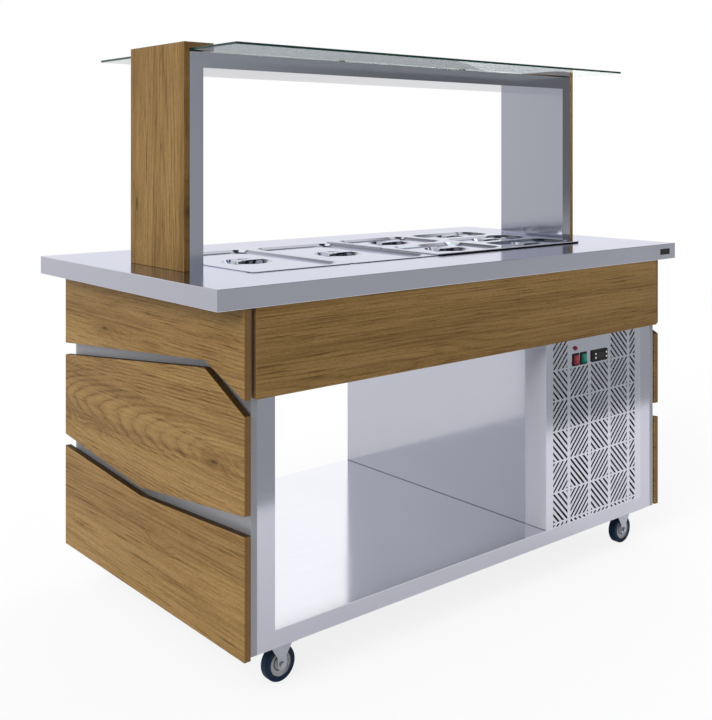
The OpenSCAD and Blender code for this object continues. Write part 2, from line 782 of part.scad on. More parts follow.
// Rocker: a round-ended body with a shallow valley across its front, stored with its upper half pressed
module rocker(i) {
    rise = 4;
    translate([ctrl_x + i * switch_pitch, pivot_y, ctrl_z]) rotate([-rocker_tilt, 0, 0]) difference() {
        translate([-rocker_w / 2, 0, 0]) rotate([0, 90, 0]) cylinder(r = rocker_r, h = rocker_w);
        translate([-rocker_w, -2 * rocker_r - rise, -rocker_r]) cube([2 * rocker_w, 2 * rocker_r, 2 * rocker_r]);
        translate([-rocker_w, 6, -rocker_r]) cube([2 * rocker_w, 2 * rocker_r, 2 * rocker_r]);
        side_profile(-rocker_w, 2 * rocker_w,
            [[-rise - e, -rocker_r], [1.4 - rise, 0], [-rise - e, rocker_r], [-rise - 3, 0]]);
    }
}

module red_rocker() { color([0.75, 0.15, 0.20]) rocker(0); }
module green_rocker() { color([0.05, 0.50, 0.35]) rocker(1); }

module pilot_lamp() {
    color([0.80, 0.12, 0.15]) translate([lamp_x, face_y, ctrl_z + lamp_up]) rotate([90, 0, 0]) {
        translate([0, 0, -22]) cylinder(r = lamp_r - 2, h = 22);
        cylinder(r = lamp_r, h = 2);
        translate([0, 0, 2 - e]) rotate_extrude() intersection() {
            translate([0, 6 - lamp_r]) circle(r = lamp_r);
            square([lamp_r - 2, lamp_r]);
        }
    }
}

bezel_t = 4;
left_key_x = -stat_w / 2 + 17;
right_key_x = stat_w / 2 - 6.5;
key_gap = key_r + 3;                       // from a key's middle to the display

module thermostat() {
    color(black_color) translate([stat_x, face_y, ctrl_z]) difference() {
        union() {
            rotate([90, 0, 0]) linear_extrude(bezel_t) round_rect(stat_w, stat_h, 3);
            translate([-stat_w / 2 + stat_lip, -e, -stat_h / 2 + stat_lip])
                cube([stat_w - 2 * stat_lip, 50, stat_h - 2 * stat_lip]);
        }
        // display recess
        translate([left_key_x + key_gap, -bezel_t - e, -10])
            cube([right_key_x - left_key_x - 2 * key_gap, 1 + e, 20]);
        for (x = [left_key_x, right_key_x], sz = [-1, 1]) translate([x, -bezel_t - e, sz * key_z])
            rotate([-90, 0, 0]) cylinder(r = key_r + run_fit, h = 9);
    }
}

module key(x, sz) {
    color([0.75, 0.77, 0.80]) translate([stat_x + x, face_y - bezel_t - 1, ctrl_z + sz * key_z])
        rotate([-90, 0, 0]) cylinder(r = key_r, h = 8);
}

module set_key() { key(left_key_x, 1); }
module defrost_key() { key(left_key_x, -1); }
module up_key() { key(right_key_x, 1); }
module down_key() { key(right_key_x, -1); }

module badge_plate() {
    color(black_color) translate([top_l / 2 - badge_in - badge_l, front_y - 1, top_h - (top_t + badge_h) / 2])
        cube([badge_l, 1, badge_h]);
}

// ---------- machine compartment ----------

module compressor() {
    color(black_color) translate([fan_x, comp_y, deck_z]) {
        // welded pot: a drawn shell with round shoulders
        translate([0, 0, comp_foot + 3]) rotate_extrude() {
            square([comp_r - 30, comp_h]);
            translate([0, 30]) square([comp_r, comp_h - 60]);
            translate([comp_r - 30, 30]) circle(r = 30);
            translate([comp_r - 30, comp_h - 30]) circle(r = 30);
        }
        translate([0, 0, comp_foot + 3 + comp_h / 2]) cylinder(r = comp_r + 3, h = 4);
        translate([-base_l / 2, -base_w / 2, comp_foot]) cube([base_l, base_w, 4]);
        for (sx = [-1, 1], sy = [-1, 1])
            translate([sx * (base_l / 2 - base_foot), sy * (base_w / 2 - base_foot), 0])
                cylinder(r = 12, h = comp_foot + e);
        translate([comp_r - 12, -30, comp_foot + 60]) cube([40, 60, 70]);
    }
}

module condenser() {
    back = coil_y + fin_d;
    tubes = 6;
    tube_step = fin_h / tubes;
    color([0.25, 0.25, 0.27]) {
        translate([fan_x - fin_l / 2, coil_y, fan_z - fin_h / 2]) cube([fin_l, fin_d, fin_h]);
        // return bends at both ends
        for (i = [0 : tubes - 2]) {
            right = i % 2 == 0;
            translate([fan_x + (right ? 1 : -1) * (fin_l / 2 - e), coil_y + fin_d / 2,
                    fan_z - fin_h / 2 + (i + 1) * tube_step])
                rotate([90, 0, 0]) rotate([0, 0, right ? -90 : 90]) u_bend(tube_step / 2, coil_r);
        }
        // shroud with its round opening
        difference() {
            translate([fan_x - fin_l / 2, back - e, fan_z - fin_h / 2]) cube([fin_l, shroud_d, fin_h]);
            translate([fan_x, back - 1, fan_z]) rotate([-90, 0, 0]) cylinder(r = fan_r + 5, h = shroud_d + 2);
        }
        // feet down to the deck, and the arms that carry the motor
        for (sx = [-1, 1]) translate([fan_x + sx * (fin_l / 2 - 20) - 20, coil_y, deck_z])
            cube([40, fin_d + shroud_d, fan_z - fin_h / 2 - deck_z + e]);
        for (sx = [-1, 1]) {
            translate([fan_x + sx * (fin_l / 2 - 15) - 5, back + shroud_d - e, fan_z - 10]) cube([10, 30, 20]);
            translate([fan_x + (sx > 0 ? 42 : -fin_l / 2 + 10), back + shroud_d + 25, fan_z - 10])
                cube([fin_l / 2 - 52, 5, 20]);
        }
        translate([fan_x, back + shroud_d + 25, fan_z]) rotate([-90, 0, 0]) difference() {
            cylinder(r = 50, h = 5);
            translate([0, 0, -e]) cylinder(r = 38, h = 5 + 2 * e);
        }
    }
}

motor_y = coil_y + fin_d + shroud_d + 12;

module fan_motor() {
    color(black_color) translate([fan_x, motor_y, fan_z]) rotate([-90, 0, 0]) {
        cylinder(r = 37.5, h = 62);
        translate([0, 0, 18]) cylinder(r = 48, h = 3);
        translate([0, 0, -22]) cylinder(r = 4, h = 23);
    }
}

module fan_blades() {
    hub_l = 16;
    color([0.55, 0.56, 0.58]) translate([fan_x, motor_y - 22, fan_z]) rotate([-90, 0, 0]) difference() {
        union() {
            cylinder(r = 24, h = hub_l);
            intersection() {
                for (a = [0 : 72 : 288]) rotate([0, 0, a]) translate([0, 0, hub_l / 2]) rotate([28, 0, 0])
                    translate([12, -26, -1]) cube([fan_r, 52, 2]);
                translate([0, 0, -6]) cylinder(r = fan_r, h = hub_l + 12);
            }
        }
        translate([0, 0, -e]) cylinder(r = 4 + run_fit, h = hub_l + 2 * e);
    }
}

// Half ring of tube that joins two runs a pitch apart
module u_bend(r, tube) {
    rotate_extrude(angle = 180) translate([r, 0]) circle(r = tube);
}

module refrigerant_lines() {
    pot_top = deck_z + comp_foot + comp_h;
    inlet_z = fan_z + fin_h / 2 - 10;
    color([0.72, 0.45, 0.30]) {
        // evaporator under the tank
        for (i = [0 : coil_runs - 1]) translate([-coil_l / 2, -line_y + i * coil_pitch, coil_z])
            rotate([0, 90, 0]) cylinder(r = coil_r, h = coil_l);
        for (i = [0 : coil_runs - 2]) {
            right = i % 2 != 0;
            translate([(right ? 1 : -1) * coil_l / 2, -line_y + (i + 0.5) * coil_pitch, coil_z])
                rotate([0, 0, right ? -90 : 90]) u_bend(coil_pitch / 2, coil_r);
        }
        for (sy = [-1, 1]) translate([line_x, sy * line_y, coil_z]) sphere(r = coil_r);
        // suction line, brazed into the compressor's shoulder
        translate([line_x, line_y, pot_top - 15]) cylinder(r = coil_r, h = coil_z - pot_top + 15);
        // liquid line, down and forward into the condenser
        translate([line_x, -line_y, inlet_z]) cylinder(r = coil_r, h = coil_z - inlet_z);
        translate([line_x, -line_y, inlet_z]) sphere(r = coil_r);
        translate([line_x, -line_y, inlet_z]) rotate([90, 0, 0])
            cylinder(r = coil_r, h = -line_y - coil_y - fin_d - shroud_d + 3);
    }
}

// ---------- castors ----------

plate_t = 5;
race_h = 9;
race_r = 24;
fork_t = 2.5;
fork_in = wheel_w / 2 + 2.5;               // inner face of a fork cheek
crown_z = castor_h - plate_t - race_h;     // top of the fork's crown
hub_r = 13;

// Places a castor: s is -1 or 1 in X and Y
module at_castor(sx, sy) {
    translate([sx * wheel_x, sy * wheel_y, 0]) children();
}

// The swivel axis lies outside the axle, towards the cabinet's end
module at_swivel(sx, sy) {
    translate([sx * (wheel_x + trail), sy * wheel_y, 0]) children();
}

module castor_plates() {
    plate_l = 96;
    plate_w = 84;
    color(steel_color) for (sx = [-1, 1], sy = [-1, 1]) at_swivel(sx, sy) difference() {
        translate([-plate_l / 2, -plate_w / 2, castor_h - plate_t]) cube([plate_l, plate_w, plate_t]);
        translate([0, 0, castor_h - plate_t - e]) cylinder(r = 5 + run_fit, h = plate_t - 1);
    }
}

module fork(sx, sy) {
    top = crown_z - axle_z;
    wide = wheel_d * 0.38;
    color(steel_color) {
        at_swivel(sx, sy) {
            translate([0, 0, crown_z]) cylinder(r = race_r, h = race_h);
            translate([0, 0, crown_z]) cylinder(r = 5, h = race_h + plate_t - 1.5);
        }
        at_castor(sx, sy) {
            translate([sx > 0 ? -wide : -trail - race_r, -fork_in - fork_t, crown_z - fork_t])
                cube([wide + trail + race_r, 2 * (fork_in + fork_t), fork_t + e]);
            for (side = [-1, 1]) translate([0, side * (fork_in + fork_t / 2) + fork_t / 2, axle_z])
                rotate([90, 0, 0]) linear_extrude(fork_t) {
                    circle(r = hub_r);
                    polygon([[-wide, top], [-hub_r, top - 30], [-hub_r, 0], [hub_r, 0], [hub_r, top - 30],
                        [wide, top]]);
                }
            translate([0, -fork_in - fork_t - 3, axle_z]) rotate([-90, 0, 0])
                cylinder(r = axle_r, h = 2 * (fork_in + fork_t + 3));
            for (side = [-1, 1])
                translate([0, side * (fork_in + fork_t + 2.5), axle_z]) rotate([90, 0, 0])
                    cylinder(r = 1.7 * axle_r, h = 5, center = true, $fn = 6);
        }
    }
}

module front_left_fork() { fork(-1, -1); }
module front_right_fork() { fork(1, -1); }
module rear_left_fork() { fork(-1, 1); }
module rear_right_fork() { fork(1, 1); }

// Wheel: a core with a long hub, and a solid tyre round it with rounded shoulders
module wheel(sx, sy) {
    r = wheel_d / 2;
    core_r = 0.68 * r;
    shoulder = 5;
    at_castor(sx, sy) translate([0, 0, axle_z]) rotate([90, 0, 0]) {
        color([0.55, 0.56, 0.58]) rotate_extrude() difference() {
            union() {
                translate([0, -wheel_w / 2 + 3]) square([core_r, wheel_w - 6]);
                translate([0, -fork_in + part_gap]) square([hub_r - 2, 2 * (fork_in - part_gap)]);
            }
            square([2 * (axle_r + run_fit), 4 * wheel_w], center = true);
            for (side = [-1, 1]) translate([hub_r, side * wheel_w / 2 - 5]) square([core_r - hub_r - 4, 10]);
        }
        color(tyre_color) rotate_extrude() {
            translate([core_r, -wheel_w / 2]) square([r - shoulder - core_r, wheel_w]);
            translate([core_r, -wheel_w / 2 + shoulder]) square([r - core_r, wheel_w - 2 * shoulder]);
            for (side = [-1, 1]) translate([r - shoulder, side * (wheel_w / 2 - shoulder)]) circle(r = shoulder);
        }
    }
}

module front_left_wheel() { wheel(-1, -1); }
module front_right_wheel() { wheel(1, -1); }
module rear_left_wheel() { wheel(-1, 1); }
module rear_right_wheel() { wheel(1, 1); }

// ---------- pans and lids ----------

module full_pan_left() { pan(full_left, pan_l, 0); }
module full_pan_right() { pan(full_right, pan_l, 0); }
module half_pan_front() { pan(half_front, half_w, frame_h); }
module half_pan_rear() { pan(half_rear, half_w, frame_h); }
module third_pan_front() { pan(third_front, third_w, frame_h); }
module third_pan_middle() { pan(third_middle, third_w, frame_h); }
module third_pan_rear() { pan(third_rear, third_w, frame_h); }

module full_lid_left() { lid(full_left, pan_l, 0); }
module full_lid_right() { lid(full_right, pan_l, 0); }
module half_lid_front() { lid(half_front, half_w, frame_h); }
module half_lid_rear() { lid(half_rear, half_w, frame_h); }
module third_lid_front() { lid(third_front, third_w, frame_h); }
module third_lid_middle() { lid(third_middle, third_w, frame_h); }
module third_lid_rear() { lid(third_rear, third_w, frame_h); }

worktop();
well_tank();
well_insulation();
pan_bars();
posts();
top_beam();
post_boards();
cap_boards();
glass_shelf();
glass_pads();
aprons();
top_side_panels();
middle_side_panels();
lower_side_panels();
carcass_frame();
side_casings();
deck();
partition();
well_cover();
front_grille();
rear_grille();
cord_gland();
compressor();
condenser();
fan_motor();
fan_blades();
refrigerant_lines();
pilot_lamp();
switch_housings();
red_rocker();
green_rocker();
thermostat();
set_key();
defrost_key();
up_key();
down_key();
badge_plate();
castor_plates();
front_left_fork();
front_right_fork();
rear_left_fork();
rear_right_fork();
front_left_wheel();
front_right_wheel();
rear_left_wheel();
rear_right_wheel();
full_pan_left();
full_pan_right();
half_pan_front();
half_pan_rear();
third_pan_front();
third_pan_middle();
third_pan_rear();
full_lid_left();
full_lid_right();
half_lid_front();
half_lid_rear();
third_lid_front();
third_lid_middle();
third_lid_rear();
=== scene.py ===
# Mobile salad bar: finishes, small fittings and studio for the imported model.
import math

import bmesh
import bpy
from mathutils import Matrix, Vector


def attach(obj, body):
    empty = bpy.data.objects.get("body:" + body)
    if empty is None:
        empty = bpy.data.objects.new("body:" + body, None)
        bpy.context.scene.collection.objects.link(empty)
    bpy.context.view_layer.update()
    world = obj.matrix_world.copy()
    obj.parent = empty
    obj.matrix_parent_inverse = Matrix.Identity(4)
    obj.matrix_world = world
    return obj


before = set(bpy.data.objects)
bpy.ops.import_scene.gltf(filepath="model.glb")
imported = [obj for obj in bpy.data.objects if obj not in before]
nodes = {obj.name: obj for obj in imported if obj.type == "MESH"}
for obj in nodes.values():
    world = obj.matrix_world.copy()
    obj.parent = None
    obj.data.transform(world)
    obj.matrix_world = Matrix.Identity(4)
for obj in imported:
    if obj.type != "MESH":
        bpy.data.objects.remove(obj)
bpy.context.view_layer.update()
print("salad bar loaded:", len(nodes), "pieces")

scene = bpy.context.scene
scene.view_settings.view_transform = "Standard"


def reach(name):
    piece = nodes[name]
    corners = [piece.matrix_world @ v.co for v in piece.data.vertices]
    return [(min(c[i] for c in corners), max(c[i] for c in corners)) for i in range(3)]


# short ways to build a node tree
def addNode(tree, kind, **values):
    made = tree.nodes.new(kind)
    for key, value in values.items():
        setattr(made, key, value)
    return made


def number(tree, operation, first, second=None, third=None):
    made = addNode(tree, "ShaderNodeMath", operation=operation)
    for i, value in enumerate((first, second, third)):
        if value is None:
            continue
        if isinstance(value, (int, float)):
            made.inputs[i].default_value = value
        else:
            tree.links.new(value, made.inputs[i])
    return made.outputs[0]


def unsigned(tree, value):
    return number(tree, "ABSOLUTE", value)


def between(tree, value, low, high):
    return number(tree, "COMPARE", value, (low + high) / 2, (high - low) / 2)


def distance(tree, first, second):
    squares = [number(tree, "MULTIPLY", side, side) for side in (first, second)]
    return number(tree, "SQRT", number(tree, "ADD", *squares))


def span(tree, value, low, high, toLow, toHigh, smooth=False):
    made = addNode(tree, "ShaderNodeMapRange")
    if smooth:
        made.interpolation_type = "SMOOTHSTEP"
    tree.links.new(value, made.inputs["Value"])
    for name, x in (("From Min", low), ("From Max", high), ("To Min", toLow), ("To Max", toHigh)):
        made.inputs[name].default_value = x
    return made.outputs["Result"]


def splitAxes(tree, vector):
    made = addNode(tree, "ShaderNodeSeparateXYZ")
    tree.links.new(vector, made.inputs[0])
    return made.outputs


def splitTone(tree, tone):
    made = addNode(tree, "ShaderNodeSeparateColor")
    tree.links.new(tone, made.inputs[0])
    return made.outputs


def alignment(tree, vector, towards):
    made = addNode(tree, "ShaderNodeVectorMath", operation="DOT_PRODUCT")
    tree.links.new(vector, made.inputs[0])
    made.inputs[1].default_value = Vector(towards).normalized()
    return made.outputs["Value"]


def scaledTone(tree, tone, share):
    made = addNode(tree, "ShaderNodeVectorMath", operation="SCALE")
    if isinstance(tone, bpy.types.NodeSocket):
        tree.links.new(tone, made.inputs[0])
    else:
        made.inputs[0].default_value = tone
    tree.links.new(share, made.inputs["Scale"])
    return made.outputs[0]


def blendTone(tree, share, first, second, how="MIX"):
    made = addNode(tree, "ShaderNodeMix", data_type="RGBA", blend_type=how)
    for name, value in (("Factor", share), ("A", first), ("B", second)):
        socket = made.inputs[name]
        if isinstance(value, bpy.types.NodeSocket):
            tree.links.new(value, socket)
        elif isinstance(value, (int, float)):
            socket.default_value = value
        else:
            socket.default_value = (*value, 1)
    return made.outputs["Result"]


def tones(tree, value, stops):
    ramp = addNode(tree, "ShaderNodeValToRGB")
    tree.links.new(value, ramp.inputs[0])
    marks = ramp.color_ramp.elements
    while len(marks) < len(stops):
        marks.new(0.5)
    for mark, (place, tone) in zip(marks, stops):
        mark.position = place
        mark.color = (*tone, 1)
    return ramp.outputs[0]


def dimmed(tone, share):
    return [v * share for v in tone]


# the studio: one camera, a room that polished steel can mirror, two soft lamps and a paper floor
standpoint = {
    "place": (-2.1152, -2.4013, 1.2581),
    "turn": -40.116,      # degrees about Z
    "lens": 51.82,
    "gateHigh": 36.0,
    "gateWide": 20.0,
    "rise": -0.2928,      # vertical shift of the frame
}


def placeCamera(spot):
    data = bpy.data.cameras.new("studioCamera")
    data.sensor_fit = "VERTICAL"
    data.sensor_height = spot["gateHigh"]
    data.sensor_width = spot["gateWide"]
    data.lens = spot["lens"]
    data.shift_y = spot["rise"]
    camera = bpy.data.objects.new("studioCamera", data)
    camera.location = spot["place"]
    camera.rotation_euler = (math.pi / 2, 0, math.radians(spot["turn"]))
    scene.collection.objects.link(camera)
    scene.camera = camera


air = {
    "soft": (0.60, 0.605, 0.62),      # what lights matt surfaces from all round
    "backdrop": (1.0, 1.0, 1.0),
    "mirrored": [                     # what steel sees, from the dark front of the room to the backdrop
        (0.00, (0.34, 0.35, 0.365)), (0.34, (0.35, 0.36, 0.375)), (0.50, (0.44, 0.45, 0.47)),
        (0.64, (0.53, 0.54, 0.56)), (0.75, (0.70, 0.71, 0.73)), (0.90, (1.0, 1.0, 1.0)),
    ],
    "towards": (0.40, 0.90, 0.05),
    "overhead": [                     # how much of that is left, from the skyline up to the zenith
        (0.00, 1.0), (0.42, 1.0), (0.55, 0.42), (0.68, 0.13), (0.80, 0.05), (1.00, 0.04),
    ],
    "skylights": [                    # bright openings overhead: which way, how wide and how bright
        {"from": (0.14, 0.60, 0.79), "inner": 0.992, "outer": 0.982, "glow": 1.3},
        {"from": (0.53, 0.43, 0.73), "inner": 0.990, "outer": 0.984, "glow": 0.85},
        {"from": (0.745, 0.33, 0.58), "inner": 0.9985, "outer": 0.9965, "glow": 0.85},
        {"from": (0.51, -0.36, 0.78), "inner": 0.975, "outer": 0.955, "glow": 0.90},
    ],
    # a dim opening to the right: what it leaves of the light, down to its sill
    "doorway": {"from": (0.82, -0.56, 0.10), "inner": 0.985, "outer": 0.900, "kept": 0.42,
                "sill": (-0.075, -0.045)},
    # what the back leaves of its light under the skyline, between two heights and from how far round
    "below": {"kept": 0.70, "heights": (-0.02, -0.09), "back": (0.66, 0.78)},
    # what the front leaves of the soft light, and where that ends
    "front": {"kept": 0.72, "fade": (0.10, 0.60)},
}


def fillAir(look):
    world = bpy.data.worlds.new("studioAir")
    world.use_nodes = True
    tree = world.node_tree
    tree.nodes.clear()
    path = addNode(tree, "ShaderNodeLightPath").outputs
    where = addNode(tree, "ShaderNodeTexCoord").outputs["Generated"]
    up = splitAxes(tree, where)[2]
    turned = span(tree, alignment(tree, where, look["towards"]), -1, 1, 0, 1)
    overhead = tones(tree, up, [(place, (v, v, v)) for place, v in look["overhead"]])
    unlit = blendTone(tree, 1.0, tones(tree, turned, look["mirrored"]), overhead, how="MULTIPLY")

    def patch(spot):
        facing = alignment(tree, where, spot["from"])
        return span(tree, facing, spot["outer"], spot["inner"], 0, 1, smooth=True)

    door, below, front = look["doorway"], look["below"], look["front"]
    doorway = number(tree, "MULTIPLY", patch(door), span(tree, up, *door["sill"], 0, 1 - door["kept"]))
    sunken = number(tree, "MULTIPLY", span(tree, up, *below["heights"], 0, 1 - below["kept"]),
                    span(tree, turned, *below["back"], 0, 1))
    kept = number(tree, "SUBTRACT", number(tree, "SUBTRACT", 1, doorway), sunken)
    room = scaledTone(tree, unlit, kept)
    for skylight in look["skylights"]:
        room = blendTone(tree, patch(skylight), room, [skylight["glow"]] * 3)
    fading = span(tree, turned, *front["fade"], front["kept"], 1, smooth=True)
    around = scaledTone(tree, look["soft"], fading)
    matt = blendTone(tree, path["Is Glossy Ray"], around, room)
    # a ray that passed the glass after a reflection still sees the room
    plain = number(tree, "LESS_THAN", path["Glossy Depth"], 0.5)
    passed = number(tree, "MULTIPLY", path["Is Transmission Ray"], plain)
    mirroredPast = number(tree, "MULTIPLY", path["Is Transmission Ray"], number(tree, "SUBTRACT", 1, plain))
    matt = blendTone(tree, mirroredPast, matt, room)
    straight = number(tree, "MAXIMUM", path["Is Camera Ray"], passed)
    light = addNode(tree, "ShaderNodeBackground")
    tree.links.new(blendTone(tree, straight, matt, look["backdrop"]), light.inputs["Color"])
    light.inputs["Strength"].default_value = 1
    out = addNode(tree, "ShaderNodeOutputWorld")
    tree.links.new(light.outputs[0], out.inputs["Surface"])
    scene.world = world


lamps = [
    {"name": "windowSide", "from": (-0.84, -0.22, 0.62), "power": 1.85, "spread": 38},
    {"name": "roomSide", "from": (0.75, 0.45, 0.55), "power": 0.85, "spread": 60},
]


def hangLamps(wanted):
    for lamp in wanted:
        data = bpy.data.lights.new(lamp["name"], "SUN")
        data.energy = lamp["power"]
        data.angle = math.radians(lamp["spread"])
        made = bpy.data.objects.new(lamp["name"], data)
        made.rotation_euler = Vector(lamp["from"]).to_track_quat("Z", "Y").to_euler()
        made.visible_glossy = False       # polished steel shows the room and not the lamps
        scene.collection.objects.link(made)


ground = {
    "left": -2.6, "right": 6.5, "front": -1.50, "back": 7.0,
    "tone": (0.82, 0.82, 0.835), "grain": 60, "grainKeeps": 0.985,
    "paper": 0.80, "glow": 1.04,          # how far the paper shines by itself for the camera
}


def layFloor(g):
    mesh = bpy.data.meshes.new("studioFloor")
    shape = bmesh.new()
    left, right, front, back = g["left"], g["right"], g["front"], g["back"]
    corners = [(left, front), (right, front), (right, back), (left, back)]
    shape.faces.new([shape.verts.new((x, y, 0)) for x, y in corners])
    shape.to_mesh(mesh)
    shape.free()
    floor = bpy.data.objects.new("studioFloor", mesh)
    scene.collection.objects.link(floor)
    material = bpy.data.materials.new("studioPaper")
    material.use_nodes = True
    tree = material.node_tree
    tree.nodes.clear()
    matt = addNode(tree, "ShaderNodeBsdfDiffuse")
    grain = addNode(tree, "ShaderNodeTexNoise")
    grain.inputs["Scale"].default_value = g["grain"]
    tone = blendTone(tree, grain.outputs["Fac"], g["tone"], dimmed(g["tone"], g["grainKeeps"]))
    tree.links.new(tone, matt.inputs["Color"])
    glow = addNode(tree, "ShaderNodeEmission")
    glow.inputs["Color"].default_value = (1, 1, 1, 1)
    glow.inputs["Strength"].default_value = g["glow"]
    path = addNode(tree, "ShaderNodeLightPath")
    both = addNode(tree, "ShaderNodeMixShader")
    tree.links.new(number(tree, "MULTIPLY", path.outputs["Is Camera Ray"], g["paper"]), both.inputs[0])
    tree.links.new(matt.outputs[0], both.inputs[1])
    tree.links.new(glow.outputs[0], both.inputs[2])
    out = addNode(tree, "ShaderNodeOutputMaterial")
    tree.links.new(both.outputs[0], out.inputs["Surface"])
    mesh.materials.append(material)


placeCamera(standpoint)
fillAir(air)
hangLamps(lamps)
layFloor(ground)
print("studio ready")


# finishes, each a function that takes its own values
def newFinish(name):
    material = bpy.data.materials.new(name)
    material.use_nodes = True
    tree = material.node_tree
    tree.nodes.clear()
    skin = addNode(tree, "ShaderNodeBsdfPrincipled")
    out = addNode(tree, "ShaderNodeOutputMaterial")
    tree.links.new(skin.outputs[0], out.inputs["Surface"])
    return material, tree, skin


def localPoint(tree):
    return addNode(tree, "ShaderNodeTexCoord").outputs["Object"]


def localFacing(tree):
    return splitAxes(tree, addNode(tree, "ShaderNodeTexCoord").outputs["Normal"])


def stretched(tree, point, scale):
    made = addNode(tree, "ShaderNodeMapping")
    tree.links.new(point, made.inputs["Vector"])
    made.inputs["Scale"].default_value = scale
    return made.outputs[0]


def cloud(tree, point, scale=1.0, detail=2.0, roughness=0.5):
    made = addNode(tree, "ShaderNodeTexNoise")
    tree.links.new(point, made.inputs["Vector"])
    made.inputs["Scale"].default_value = scale
    made.inputs["Detail"].default_value = detail
    made.inputs["Roughness"].default_value = roughness
    return made.outputs


def relief(tree, skin, height, strength, depth):
    made = addNode(tree, "ShaderNodeBump")
    made.inputs["Strength"].default_value = strength
    made.inputs["Distance"].default_value = depth
    tree.links.new(height, made.inputs["Height"])
    tree.links.new(made.outputs[0], skin.inputs["Normal"])


paleRim = (0.84, 0.85, 0.94)          # what thin polished sheet keeps where it is seen at a slant
polished = {"tone": (0.64, 0.645, 0.71), "rough": 0.07, "grain": (60, 60, 60), "show": 0.04,
            "edge": paleRim}
deckTop = reach("deck")[2][1]
partitionFront = reach("partition")[1][0]
raisedPanTop = reach("half_pan_front")[2][1]

steels = {
    # tone, roughness, grain scales along X, Y and Z, and how far the grain shows;
    # flat: what upward faces keep of the tone, a painted shade on the tops; edge: what a slanting look keeps;
    # metal: under 1 where it is blasted matt; sides: upright faces over a height, or those square to an axis,
    # which take a painted highlight or a painted shade;
    # inner, outer: faces that look to the middle or away from it;
    # the partition's foot: a painted shade line between two heights; fold: a satin return in front of a place
    "worktopSteel": {"tone": (0.80, 0.80, 0.875), "rough": 0.13, "grain": (3, 700, 700), "show": 0.03,
                     "flat": 0.80, "edge": paleRim},
    "postSteel": {"tone": (0.66, 0.665, 0.735), "rough": 0.11, "grain": (900, 900, 3), "show": 0.025},
    "beamSteel": {"tone": (0.66, 0.665, 0.735), "rough": 0.11, "grain": (3, 700, 700), "show": 0.035},
    "casingSteel": {"tone": (0.42, 0.425, 0.45), "rough": 0.42, "grain": (380, 4, 380), "show": 0.06,
                    "metal": 0.45, "inner": {"axis": "X", "tone": (0.86, 0.86, 0.92), "metal": 0.6}},
    "cabinetSteel": {"tone": (0.68, 0.685, 0.755), "rough": 0.09, "grain": (4, 700, 700), "show": 0.03},
    "baySteel": {"tone": (0.91, 0.91, 0.98), "rough": 0.11, "grain": (4, 380, 380), "show": 0.03},
    "partitionSteel": {"tone": (0.60, 0.605, 0.665), "rough": 0.10, "grain": (700, 4, 700), "show": 0.03,
                       # painted shade along the partition's foot, where it meets the deck
                       "footShade": {"from": deckTop + 0.0002, "to": deckTop + 0.0018, "tone": (0.14, 0.14, 0.16)},
                       "fold": {"before": partitionFront + 0.078, "tone": (0.62, 0.62, 0.69), "metal": 0.12},
                       "outer": {"axis": "X", "tone": (0.86, 0.86, 0.90), "metal": 0.0}},
    "grilleSteel": {"tone": (0.76, 0.765, 0.83), "rough": 0.12, "grain": (900, 900, 4), "show": 0.03,
                    "inner": {"axis": "Y", "tone": (0.80, 0.80, 0.86), "metal": 0.1}},
    "panSteel": polished,
    # the upright rim faces at the top of the small pans are pale and hardly metallic: a painted highlight
    # line
    "raisedPanSteel": {**polished,
                       "sides": {"above": raisedPanTop - 0.0015, "tone": (0.92, 0.92, 0.96), "metal": 0.1}},
    # the bars' faces square to Y are near black: a painted shade line under the pan rims
    "barSteel": {**polished, "sides": {"axis": "Y", "tone": (0.02, 0.02, 0.03), "metal": 0.2}},
    "zincSteel": {"tone": (0.56, 0.58, 0.62), "rough": 0.32, "grain": (90, 90, 90), "show": 0.12},
    "fanAlloy": {"tone": (0.58, 0.59, 0.60), "rough": 0.36, "grain": (70, 70, 70), "show": 0.10},
}
brushing = {
    # each pair is where a noise, or a face's turn, starts and ends to count
    "hair": (0.3, 0.7), "roughHair": (0.25, 0.75),
    "spread": 0.15,                   # how far the grain moves the roughness either way
    "wipes": 4.5, "wiped": (0.42, 0.75), "wipedShare": 0.35, "wipedKeeps": 0.95,
    "roughWipe": (0.4, 0.8), "wipedRough": 0.03,
    "upward": (0.6, 0.9), "upright": (0.30, 0.15), "square": (0.70, 0.85), "turned": (0.7, 0.9),
    "foldSoft": 0.002,
    "strength": 0.015, "depth": 0.0002,
}


